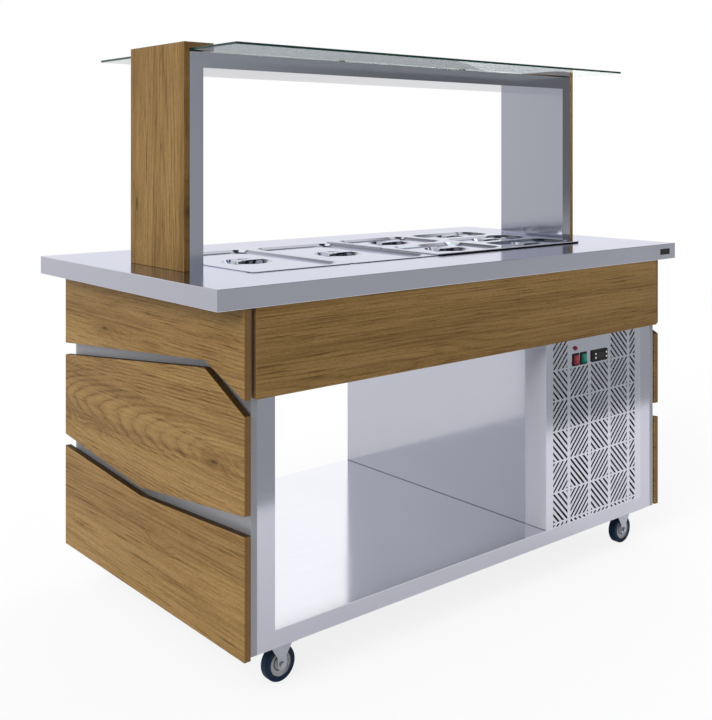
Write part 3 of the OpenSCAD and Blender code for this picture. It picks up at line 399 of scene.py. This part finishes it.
def steelFinish(name, look):
    material, tree, skin = newFinish(name)
    point = localPoint(tree)
    place = splitAxes(tree, point)
    facing = localFacing(tree)
    tone, metal, brush = look["tone"], look.get("metal", 1), brushing
    hair = cloud(tree, stretched(tree, point, look["grain"]), 1, 3, 0.6)["Fac"]
    wipe = cloud(tree, point, brush["wipes"], 3, 0.55)["Fac"]
    lit = [min(1, v * (1 + 0.5 * look["show"])) for v in tone]
    worn = blendTone(tree, span(tree, hair, *brush["hair"], 0, 1), dimmed(tone, 1 - look["show"]), lit)
    wiped = span(tree, wipe, *brush["wiped"], 0, brush["wipedShare"])
    worn = blendTone(tree, wiped, worn, dimmed(tone, brush["wipedKeeps"]))
    # painted shade: upward faces are darkened below the rest of the sheet
    if "flat" in look:
        upward = span(tree, facing[2], *brush["upward"], 0, 1)
        worn = blendTone(tree, upward, worn, dimmed(tone, look["flat"]))

    # each special face takes its own tone and may be less metallic
    shine = None
    # sides: the small pans' upright rims take a painted highlight, the bars' faces square to Y a painted
    # shade
    if "sides" in look:
        sides = look["sides"]
        if "axis" in sides:
            square = unsigned(tree, facing["XYZ".index(sides["axis"])])
            chosen = span(tree, square, *brush["square"], 0, 1)
        else:
            upright = span(tree, unsigned(tree, facing[2]), *brush["upright"], 0, 1)
            high = number(tree, "GREATER_THAN", place[2], sides["above"])
            chosen = number(tree, "MULTIPLY", upright, high)
        worn = blendTone(tree, chosen, worn, sides["tone"])
        shine = span(tree, chosen, 0, 1, metal, sides["metal"])
    for side, sign in (("inner", -1), ("outer", 1)):
        if side in look:
            axis = "XYZ".index(look[side]["axis"])
            away = number(tree, "MULTIPLY", facing[axis], number(tree, "SIGN", place[axis]))
            chosen = span(tree, away, *(sign * turn for turn in brush["turned"]), 0, 1)
            worn = blendTone(tree, chosen, worn, look[side]["tone"])
            shine = span(tree, chosen, 0, 1, metal, look[side]["metal"])
    if "fold" in look:
        fold, soft = look["fold"], brush["foldSoft"]
        chosen = span(tree, place[1], fold["before"] + soft, fold["before"] - soft, 0, 1)
        worn = blendTone(tree, chosen, worn, fold["tone"])
        satin = span(tree, chosen, 0, 1, metal, fold["metal"])
        shine = satin if shine is None else number(tree, "MINIMUM", satin, shine)
    # painted shade: a dark line along the partition's foot
    if "footShade" in look:
        shadeLine = between(tree, place[2], look["footShade"]["from"], look["footShade"]["to"])
        worn = blendTone(tree, shadeLine, worn, look["footShade"]["tone"])

    tree.links.new(worn, skin.inputs["Base Color"])
    skin.inputs["Metallic"].default_value = metal
    if shine is not None:
        tree.links.new(shine, skin.inputs["Metallic"])
    skin.inputs["Specular Tint"].default_value = (*look.get("edge", (1, 1, 1)), 1)
    least, most = look["rough"] * (1 - brush["spread"]), look["rough"] * (1 + brush["spread"])
    gloss = number(tree, "ADD", span(tree, hair, *brush["roughHair"], least, most),
                   span(tree, wipe, *brush["roughWipe"], 0, brush["wipedRough"]))
    tree.links.new(gloss, skin.inputs["Roughness"])
    relief(tree, skin, hair, brush["strength"], brush["depth"])
    return material


oaks = {
    # grain: which axes run along and across the board and through it; heart: the rings' centre along and
    # across; slope: how steeply the board cuts the rings; ring: the width of one; figure: how far they show
    "postOak": {"grain": "ZYX", "heart": (-0.35, -0.03), "slope": 0.030, "ring": 0.0090, "shift": 1.7,
                "figure": 0.55},
    "capOak": {"grain": "YXZ", "heart": (-0.6, 0.75), "slope": 0.030, "ring": 0.0090, "shift": 5.1,
               "figure": 0.5},
    "apronOak": {"grain": "XZY", "heart": (-1.3, 0.70), "slope": 0.030, "ring": 0.0085, "shift": 3.3,
                 "figure": 0.55},
    "topPanelOak": {"grain": "YZX", "heart": (-0.9, 0.84), "slope": 0.035, "ring": 0.0090, "shift": 8.2,
                    "figure": 0.45},
    "middlePanelOak": {"grain": "YZX", "heart": (-0.36, 0.545), "slope": 0.115, "ring": 0.0085, "shift": 2.4,
                       "figure": 1.0},
    "lowerPanelOak": {"grain": "YZX", "heart": (-0.95, 0.20), "slope": 0.035, "ring": 0.0085, "shift": 6.6,
                      "figure": 0.55},
}
oakTones = {
    "pale": (0.405, 0.250, 0.090),
    "body": (0.300, 0.175, 0.057),
    "late": (0.130, 0.066, 0.018),
    "pore": (0.060, 0.028, 0.008),
    "knot": (0.045, 0.020, 0.006),
    "band": (0.205, 0.112, 0.043),
    # the darkest tone, used as painted shade on the upper edges in the grooves between the panels
    "stainAndGrooveShade": (0.030, 0.015, 0.005),
}
oakGrowth = {
    # scales run along, across and through the board
    "knots": {"scale": (3.4, 12.5, 4.0), "chance": (0.60, 0.62), "eye": (0.02, 0.09), "eyeShare": 0.75,
              "halo": 0.42, "haloShare": 0.40, "push": 0.020},
    "drift": {"scale": (0.9, 3.4, 2.0), "across": 0.070, "along": 0.050},
    "ripple": {"scale": (5, 46, 20), "share": 0.9},
    "seasons": [(0.00, "late"), (0.10, "body"), (0.55, "pale"), (0.86, "body"), (1.00, "late")],
    "years": {"scale": (0.8, 30, 12), "range": (0.38, 0.62), "lost": 0.4},
    "streaks": [                      # for each tone: where it starts and ends, and how far it shows
        {"scale": (0.8, 12, 7), "detail": 3,
         "tones": {"late": (0.46, 0.68, 0.46), "pale": (0.50, 0.28, 0.75)}},
        {"scale": (0.9, 90, 60), "detail": 3,
         "tones": {"late": (0.50, 0.72, 0.30), "pale": (0.48, 0.28, 0.55)}},
        {"scale": (2.4, 250, 180), "detail": 2, "tones": {"pale": (0.48, 0.30, 0.50)}},
    ],
    "pores": {"scale": (6, 330, 300), "range": (0.54, 0.64), "share": 0.85, "spring": 0.55, "summer": 0.45},
    "fibre": {"scale": (70, 260, 200), "range": (0.42, 0.66), "share": 0.28},
    "ends": (0.80, 0.95), "endShare": 0.80,
    # edges, upper and the share after them: where the painted shade on the upper edges in the grooves falls,
    # and how strong it is
    "edges": (0.80, 0.50), "upper": (0.25, 0.45), "grooveShadeShare": 0.92,
    "rough": (0.46, 0.62), "shine": 0.12,
    "ringHeight": 0.25, "poreDepth": 0.8, "strength": 0.22, "depth": 0.0004,
}


def oakFinish(name, look):
    material, tree, skin = newFinish(name)
    growth = oakGrowth
    axes = ["XYZ".index(axis) for axis in look["grain"]]
    point = splitAxes(tree, localPoint(tree))
    along, across, through = (point[i] for i in axes)
    board = addNode(tree, "ShaderNodeCombineXYZ")
    tree.links.new(along, board.inputs[0])
    tree.links.new(across, board.inputs[1])
    tree.links.new(number(tree, "ADD", through, look["shift"]), board.inputs[2])

    def figure(part, detail, roughness):
        return cloud(tree, stretched(tree, board.outputs[0], part["scale"]), 1, detail, roughness)

    # small knots in some of the cells, which push the rings aside
    knots = growth["knots"]
    spots = addNode(tree, "ShaderNodeTexVoronoi")
    tree.links.new(stretched(tree, board.outputs[0], knots["scale"]), spots.inputs["Vector"])
    spots.inputs["Scale"].default_value = 1
    chosen = span(tree, splitTone(tree, spots.outputs["Color"])[0], *knots["chance"], 0, 1)
    apart = spots.outputs["Distance"]
    eye = number(tree, "MULTIPLY", span(tree, apart, *knots["eye"], 1, 0, smooth=True), chosen)
    halo = number(tree, "MULTIPLY", span(tree, apart, 0.0, knots["halo"], 1, 0, smooth=True), chosen)

    # growth rings, cut lengthwise, so that they show as long arches
    drift = growth["drift"]
    sway = splitTone(tree, figure(drift, 2, 0.5)["Color"])
    off = number(tree, "SUBTRACT", across, look["heart"][1] + drift["across"] / 2)
    sideways = number(tree, "MULTIPLY_ADD", sway[0], drift["across"], off)
    deep = number(tree, "MULTIPLY", number(tree, "SUBTRACT", along, look["heart"][0]), look["slope"])
    inward = number(tree, "MULTIPLY_ADD", sway[1], drift["along"], deep)
    pushed = number(tree, "MULTIPLY_ADD", halo, knots["push"], distance(tree, sideways, inward))
    ripple = number(tree, "MULTIPLY", figure(growth["ripple"], 3, 0.55)["Fac"], growth["ripple"]["share"])
    ringCount = number(tree, "ADD", number(tree, "DIVIDE", pushed, look["ring"]), ripple)
    ring = number(tree, "FRACT", ringCount)
    seasons = tones(tree, ring, [(place, oakTones[tone]) for place, tone in growth["seasons"]])
    # some years leave a strong line and some hardly any
    years = growth["years"]
    faint = span(tree, figure(years, 2, 0.5)["Fac"], *years["range"],
                 1 - years["lost"] * look["figure"], 1 - look["figure"])
    wood = blendTone(tree, faint, seasons, oakTones["body"])

    # broad and narrow streaks, the fine open pores and the fibre
    for streak in growth["streaks"]:
        mark = figure(streak, streak["detail"], 0.6)["Fac"]
        for tone, (start, end, share) in streak["tones"].items():
            wood = blendTone(tree, span(tree, mark, start, end, 0, share), wood, oakTones[tone])
    pores, fibre = growth["pores"], growth["fibre"]
    openPore = span(tree, figure(pores, 3, 0.6)["Fac"], *pores["range"], 0, 1)
    season = span(tree, ring, 0.0, pores["spring"], 1, pores["summer"])
    shown = number(tree, "MULTIPLY", number(tree, "MULTIPLY", openPore, season), pores["share"])
    wood = blendTone(tree, shown, wood, oakTones["pore"])
    shown = span(tree, figure(fibre, 2, 0.6)["Fac"], *fibre["range"], 0, fibre["share"])
    wood = blendTone(tree, shown, wood, oakTones["late"])
    wood = blendTone(tree, number(tree, "MULTIPLY", halo, knots["haloShare"]), wood, oakTones["late"])
    wood = blendTone(tree, number(tree, "MULTIPLY", eye, knots["eyeShare"]), wood, oakTones["knot"])
    # the ends are banded with a plain strip
    facing = localFacing(tree)
    end = span(tree, unsigned(tree, facing[axes[0]]), *growth["ends"], 0, growth["endShare"])
    wood = blendTone(tree, end, wood, oakTones["band"])
    # the upper edges in the grooves between the panels are darkened with painted shade
    onEdge = span(tree, unsigned(tree, facing[axes[2]]), *growth["edges"], 0, 1)
    upper = span(tree, facing[2], *growth["upper"], 0, growth["grooveShadeShare"])
    wood = blendTone(tree, number(tree, "MULTIPLY", onEdge, upper), wood, oakTones["stainAndGrooveShade"])
    tree.links.new(wood, skin.inputs["Base Color"])
    tree.links.new(span(tree, openPore, 0, 1, *growth["rough"]), skin.inputs["Roughness"])
    skin.inputs["Specular IOR Level"].default_value = growth["shine"]
    height = number(tree, "SUBTRACT", number(tree, "MULTIPLY", ring, growth["ringHeight"]),
                    number(tree, "MULTIPLY", openPore, growth["poreDepth"]))
    relief(tree, skin, height, growth["strength"], growth["depth"])
    return material


plastics = {
    # tone, roughness, size of the moulded grain in 1/m and its strength; shine: under 0.5 where it is dulled;
    # shade: what the hollow side of a tinted rocker keeps
    "blackPlastic": {"tone": (0.012, 0.012, 0.013), "rough": 0.42, "grain": 1500, "strength": 0.10,
                     "shine": 0.20},
    "padRubber": {"tone": (0.020, 0.020, 0.021), "rough": 0.62, "grain": 900, "strength": 0.10},
    "foamCore": {"tone": (0.72, 0.62, 0.38), "rough": 0.85, "grain": 420, "strength": 0.5},
    "redRocker": {"tone": (0.42, 0.045, 0.070), "rough": 0.28, "grain": 700, "strength": 0.03,
                  "shade": 0.30},
    "greenRocker": {"tone": (0.010, 0.260, 0.185), "rough": 0.28, "grain": 700, "strength": 0.03,
                    "shade": 0.30},
    "keyPlastic": {"tone": (0.74, 0.75, 0.77), "rough": 0.38, "grain": 900, "strength": 0.05},
    "badgePlastic": {"tone": (0.022, 0.021, 0.018), "rough": 0.22, "grain": 300, "strength": 0.02,
                     "shine": 0.30},
    "blackEnamel": {"tone": (0.014, 0.014, 0.016), "rough": 0.24, "grain": 160, "strength": 0.06},
}
scuffing = {
    "scale": 22, "range": (0.45, 0.80), "share": 0.5,
    "lifts": 1.35, "adds": 0.006,     # how a scuff pales the tone
    "hollow": (0.60, 0.30), "hollowShare": 0.8, "tips": (0.34, 0.42),      # the shaded parts of a rocker
    "roughRange": (0.3, 0.75), "smoothest": 0.88, "roughest": 1.15,
    "depth": 0.0003,
}


def plasticFinish(name, look):
    material, tree, skin = newFinish(name)
    point = localPoint(tree)
    pebble = cloud(tree, point, look["grain"], 2, 0.5)["Fac"]
    scuff = cloud(tree, point, scuffing["scale"], 4, 0.6)["Fac"]
    scuffed = [min(1, v * scuffing["lifts"] + scuffing["adds"]) for v in look["tone"]]
    rubbed = span(tree, scuff, *scuffing["range"], 0, scuffing["share"])
    worn = blendTone(tree, rubbed, look["tone"], scuffed)
    # painted shade: the hollow side and the two tips of a tinted rocker are darkened
    if "shade" in look:
        across = splitAxes(tree, addNode(tree, "ShaderNodeTexCoord").outputs["Generated"])
        hollow = span(tree, across[0], *scuffing["hollow"], 0, scuffing["hollowShare"])
        fromMiddle = unsigned(tree, number(tree, "SUBTRACT", across[2], 0.5))
        tips = span(tree, fromMiddle, *scuffing["tips"], 0, 1)
        shaded = number(tree, "MAXIMUM", hollow, tips)
        worn = blendTone(tree, shaded, worn, dimmed(look["tone"], look["shade"]))
    tree.links.new(worn, skin.inputs["Base Color"])
    skin.inputs["Specular IOR Level"].default_value = look.get("shine", 0.5)
    least, most = look["rough"] * scuffing["smoothest"], look["rough"] * scuffing["roughest"]
    tree.links.new(span(tree, scuff, *scuffing["roughRange"], least, most), skin.inputs["Roughness"])
    relief(tree, skin, pebble, look["strength"], scuffing["depth"])
    return material


lens = {
    "tone": (0.30, 0.016, 0.050), "deep": 0.55, "rough": 0.12, "roughest": 1.8,
    "facets": 420, "strength": 0.12, "depth": 0.0004,
    "coat": 0.6, "coatRough": 0.05,
}


def lensFinish(name, look):
    material, tree, skin = newFinish(name)
    facets = addNode(tree, "ShaderNodeTexVoronoi")
    tree.links.new(localPoint(tree), facets.inputs["Vector"])
    facets.inputs["Scale"].default_value = look["facets"]
    apart = facets.outputs["Distance"]
    glow = blendTone(tree, apart, look["tone"], dimmed(look["tone"], look["deep"]))
    tree.links.new(glow, skin.inputs["Base Color"])
    gloss = span(tree, apart, 0, 1, look["rough"], look["rough"] * look["roughest"])
    tree.links.new(gloss, skin.inputs["Roughness"])
    skin.inputs["Coat Weight"].default_value = look["coat"]
    skin.inputs["Coat Roughness"].default_value = look["coatRough"]
    relief(tree, skin, apart, look["strength"], look["depth"])
    return material


pane = {
    "clear": (0.90, 0.985, 0.955), "clearKeeps": 0.985, "bend": 1.5,
    "edge": (0.004, 0.030, 0.022), "edgeLifts": 1.8, "edgeRough": 0.12,
    "faces": (0.35, 0.65),            # from which turn a face is clear and not an edge
    "waves": (0.5, 6.0, 1.0), "swell": (0.3, 0.7), "waveRough": 0.004,
    "shade": (0.86, 0.93, 0.91),      # what reaches the pieces under the shelf
}


def paneFinish(name, look):
    material, tree, skin = newFinish(name)
    flat = span(tree, unsigned(tree, localFacing(tree)[2]), *look["faces"], 0, 1)
    waves = cloud(tree, stretched(tree, localPoint(tree), look["waves"]), 1, 1, 0.4)["Fac"]
    swell = span(tree, waves, *look["swell"], 0, 1)
    clear = blendTone(tree, swell, look["clear"], dimmed(look["clear"], look["clearKeeps"]))
    tree.links.new(clear, skin.inputs["Base Color"])
    skin.inputs["Transmission Weight"].default_value = 1
    skin.inputs["IOR"].default_value = look["bend"]
    tree.links.new(span(tree, waves, *look["swell"], 0, look["waveRough"]), skin.inputs["Roughness"])
    rim = addNode(tree, "ShaderNodeBsdfPrincipled")
    edge = blendTone(tree, swell, look["edge"], dimmed(look["edge"], look["edgeLifts"]))
    tree.links.new(edge, rim.inputs["Base Color"])
    rim.inputs["Roughness"].default_value = look["edgeRough"]
    sides = addNode(tree, "ShaderNodeMixShader")
    tree.links.new(flat, sides.inputs[0])
    tree.links.new(rim.outputs[0], sides.inputs[1])
    tree.links.new(skin.outputs[0], sides.inputs[2])
    # light passes to what stands under the shelf
    through = addNode(tree, "ShaderNodeBsdfTransparent")
    through.inputs["Color"].default_value = (*look["shade"], 1)
    path = addNode(tree, "ShaderNodeLightPath")
    whole = addNode(tree, "ShaderNodeMixShader")
    tree.links.new(path.outputs["Is Shadow Ray"], whole.inputs[0])
    tree.links.new(sides.outputs[0], whole.inputs[1])
    tree.links.new(through.outputs[0], whole.inputs[2])
    out = next(n for n in tree.nodes if n.type == "OUTPUT_MATERIAL")
    tree.links.new(whole.outputs[0], out.inputs["Surface"])
    return material


castor = {
    "coreRadius": 0.0292, "soft": 0.0002,
    # the gap round the hub is darkened with painted shade
    "groove": (0.0150, 0.0178),       # radii of the dark gap round the hub
    "grooveKeeps": 0.06,
    "tyre": (0.004, 0.018, 0.046), "dust": (0.009, 0.026, 0.056), "dustShare": 0.45, "tyreRough": 0.45,
    "core": (0.52, 0.52, 0.53), "coreKeeps": 0.7, "coreShare": 0.4, "coreRough": 0.35,
    "dusting": 55, "dusty": (0.4, 0.75), "roughDust": (0.3, 0.7),
    "smoother": 0.04, "rougher": 0.1,         # how far the dust moves the roughness
    "shine": 0.22, "strength": 0.10, "depth": 0.0005,
}


def castorFinish(name, look):
    material, tree, skin = newFinish(name)
    point = localPoint(tree)
    place = splitAxes(tree, point)
    tread = reach("front_right_wheel")
    axleX, axleZ = sum(tread[0]) / 2, sum(tread[2]) / 2       # every axle lies as far from the middle
    radius = distance(tree, number(tree, "SUBTRACT", unsigned(tree, place[0]), axleX),
                      number(tree, "SUBTRACT", place[2], axleZ))
    rubber = span(tree, radius, look["coreRadius"] - look["soft"], look["coreRadius"] + look["soft"], 0, 1)
    dust = cloud(tree, point, look["dusting"], 4, 0.6)["Fac"]
    dusty = span(tree, dust, *look["dusty"], 0, look["dustShare"])
    tyre = blendTone(tree, dusty, look["tyre"], look["dust"])
    dull = span(tree, dust, *look["dusty"], 0, look["coreShare"])
    core = blendTone(tree, dull, look["core"], dimmed(look["core"], look["coreKeeps"]))
    # painted shade: the ring of the gap round the hub is made nearly black
    groove = between(tree, radius, *look["groove"])
    core = blendTone(tree, groove, core, dimmed(look["core"], look["grooveKeeps"]))
    tree.links.new(blendTone(tree, rubber, core, tyre), skin.inputs["Base Color"])
    dry, sleek = (span(tree, dust, *look["roughDust"], rough - look["smoother"], rough + look["rougher"])
                  for rough in (look["tyreRough"], look["coreRough"]))
    rough = number(tree, "ADD", number(tree, "MULTIPLY", rubber, dry),
                   number(tree, "MULTIPLY", number(tree, "SUBTRACT", 1, rubber), sleek))
    tree.links.new(rough, skin.inputs["Roughness"])
    skin.inputs["Specular IOR Level"].default_value = look["shine"]
    relief(tree, skin, dust, look["strength"], look["depth"])
    return material


fins = {
    # gap: the tone of the painted shade between the fins, drawn at the fin pitch
    "tone": (0.20, 0.205, 0.22), "gap": (0.02, 0.02, 0.022), "metal": 0.6,
    "pitch": 0.0026, "edge": (0.10, 0.24),
    "dents": 30, "bent": (0.35, 0.75), "bentShare": 0.6, "bentKeeps": 0.6,
    "rough": 0.38, "rougher": 0.15, "roughBent": (0.3, 0.7),
    "strength": 0.4, "depth": 0.0006,
}


def finFinish(name, look):
    material, tree, skin = newFinish(name)
    point = localPoint(tree)
    # painted shade: dark stripes at the fin pitch stand for the shaded gaps between the fins
    beat = number(tree, "FRACT", number(tree, "DIVIDE", splitAxes(tree, point)[0], look["pitch"]))
    edge = span(tree, unsigned(tree, number(tree, "SUBTRACT", beat, 0.5)), *look["edge"], 0, 1)
    dents = cloud(tree, point, look["dents"], 3, 0.6)["Fac"]
    bent = span(tree, dents, *look["bent"], 0, look["bentShare"])
    metal = blendTone(tree, bent, look["tone"], dimmed(look["tone"], look["bentKeeps"]))
    tree.links.new(blendTone(tree, edge, look["gap"], metal), skin.inputs["Base Color"])
    skin.inputs["Metallic"].default_value = look["metal"]
    gloss = span(tree, dents, *look["roughBent"], look["rough"], look["rough"] + look["rougher"])
    tree.links.new(gloss, skin.inputs["Roughness"])
    relief(tree, skin, edge, look["strength"], look["depth"])
    return material


tubing = {
    "tone": (0.60, 0.27, 0.14), "tarnish": (0.26, 0.11, 0.06),
    "stains": 16, "stained": (0.42, 0.72), "share": 0.8,
    "rough": 0.28, "smoother": 0.05, "rougher": 0.2, "roughStain": (0.3, 0.75),
    "strength": 0.06, "depth": 0.0004,
}


def tubeFinish(name, look):
    material, tree, skin = newFinish(name)
    stainAndGrooveShade = cloud(tree, localPoint(tree), look["stains"], 4, 0.6)["Fac"]
    tarnished = span(tree, stainAndGrooveShade, *look["stained"], 0, look["share"])
    tree.links.new(blendTone(tree, tarnished, look["tone"], look["tarnish"]), skin.inputs["Base Color"])
    skin.inputs["Metallic"].default_value = 1
    least, most = look["rough"] - look["smoother"], look["rough"] + look["rougher"]
    tree.links.new(span(tree, stainAndGrooveShade, *look["roughStain"], least, most), skin.inputs["Roughness"])
    relief(tree, skin, stainAndGrooveShade, look["strength"], look["depth"])
    return material


finishes = {}
for make, family in ((steelFinish, steels), (oakFinish, oaks), (plasticFinish, plastics)):
    for name, look in family.items():
        finishes[name] = make(name, look)
for make, name, look in ((lensFinish, "lampLens", lens), (paneFinish, "shelfGlass", pane),
                         (castorFinish, "castorWheel", castor), (finFinish, "finPack", fins),
                         (tubeFinish, "copperTube", tubing)):
    finishes[name] = make(name, look)
print("finishes made:", len(finishes))

finishOf = {
    "worktop": "worktopSteel", "well_tank": "baySteel", "well_insulation": "foamCore", "pan_bars": "barSteel",
    "posts": "postSteel", "top_beam": "beamSteel",
    "post_boards": "postOak", "cap_boards": "capOak", "glass_shelf": "shelfGlass", "glass_pads": "padRubber",
    "aprons": "apronOak", "top_side_panels": "topPanelOak",
    "middle_side_panels": "middlePanelOak", "lower_side_panels": "lowerPanelOak",
    "carcass_frame": "cabinetSteel", "side_casings": "casingSteel", "deck": "baySteel",
    "partition": "partitionSteel", "well_cover": "baySteel",
    "front_grille": "grilleSteel", "rear_grille": "grilleSteel", "cord_gland": "blackPlastic",
    "compressor": "blackEnamel", "condenser": "finPack", "fan_motor": "blackEnamel", "fan_blades": "fanAlloy",
    "refrigerant_lines": "copperTube", "pilot_lamp": "lampLens", "switch_housings": "blackPlastic",
    "red_rocker": "redRocker", "green_rocker": "greenRocker", "thermostat": "blackPlastic",
    "badge_plate": "badgePlastic", "castor_plates": "zincSteel",
}
finishByEnding = {"_fork": "zincSteel", "_wheel": "castorWheel", "_key": "keyPlastic"}


def finishFor(name):
    if name in finishOf:
        return finishOf[name]
    for ending, finish in finishByEnding.items():
        if name.endswith(ending):
            return finish
    # what is left are pans and lids; the small ones stand on the raised bars
    return "panSteel" if name.startswith("full_") else "raisedPanSteel"


def dress():
    for name, piece in nodes.items():
        piece.data.materials.clear()
        piece.data.materials.append(finishes[finishFor(name)])


dress()
print("pieces dressed")

# edges that a hand would feel: eased boards, folded sheet
bevel = {"segments": 2, "angle": 20, "weld": 0.00002}
easing = {
    "post_boards": 0.0012, "cap_boards": 0.0012, "aprons": 0.0014,
    "top_side_panels": 0.0014, "middle_side_panels": 0.0014, "lower_side_panels": 0.0014,
    "glass_shelf": 0.0010, "worktop": 0.0012,
}


def easeEdges(sizes):
    for name, size in sizes.items():
        piece = nodes[name]
        weld = piece.modifiers.new("weld", "WELD")
        weld.merge_threshold = bevel["weld"]
        ease = piece.modifiers.new("ease", "BEVEL")
        ease.width = size
        ease.segments = bevel["segments"]
        ease.limit_method = "ANGLE"
        ease.angle_limit = math.radians(bevel["angle"])
        ease.harden_normals = False


easeEdges(easing)
print("edges eased")


# the window of the thermostat, let into its face between the keys
def roundedOutline(wide, high, radius, steps=5):
    points = []
    for cx, cz, start in ((1, 1, 0), (-1, 1, 90), (-1, -1, 180), (1, -1, 270)):
        for i in range(steps + 1):
            a = math.radians(start + 90 * i / steps)
            points.append((cx * (wide / 2 - radius) + radius * math.cos(a),
                           cz * (high / 2 - radius) + radius * math.sin(a)))
    return points


def facingPlate(name, at, wide, look, finish, body):
    mesh = bpy.data.meshes.new(name)
    shape = bmesh.new()
    outline = roundedOutline(wide, look["high"], look["radius"])
    face = shape.faces.new([shape.verts.new((at[0] + x, at[1], at[2] + z)) for x, z in outline])
    pushed = bmesh.ops.extrude_face_region(shape, geom=[face])["geom"]
    front = [v for v in pushed if isinstance(v, bmesh.types.BMVert)]
    bmesh.ops.translate(shape, vec=(0, -look["thick"], 0), verts=front)
    bmesh.ops.recalc_face_normals(shape, faces=shape.faces)
    shape.to_mesh(mesh)
    shape.free()
    piece = bpy.data.objects.new(name, mesh)
    scene.collection.objects.link(piece)
    mesh.materials.append(finish)
    ease = piece.modifiers.new("ease", "BEVEL")
    ease.width = look["soften"]
    ease.segments = bevel["segments"]
    ease.limit_method = "ANGLE"
    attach(piece, body)


display = {
    "margin": 0.0038,                 # from the keys to the window
    "high": 0.0185, "sunk": 0.001, "thick": 0.0008, "radius": 0.001, "soften": 0.0003,
}
leftKeys, rightKeys, bezel = reach("set_key"), reach("up_key"), reach("thermostat")
windowLeft = leftKeys[0][1] + display["margin"]
windowRight = rightKeys[0][0] - display["margin"]
windowPlace = ((windowLeft + windowRight) / 2, bezel[1][0] + display["sunk"], sum(bezel[2]) / 2)
facingPlate("thermostatWindow", windowPlace, windowRight - windowLeft, display,
            finishes["badgePlastic"], "cabinet")
print("fittings placed")
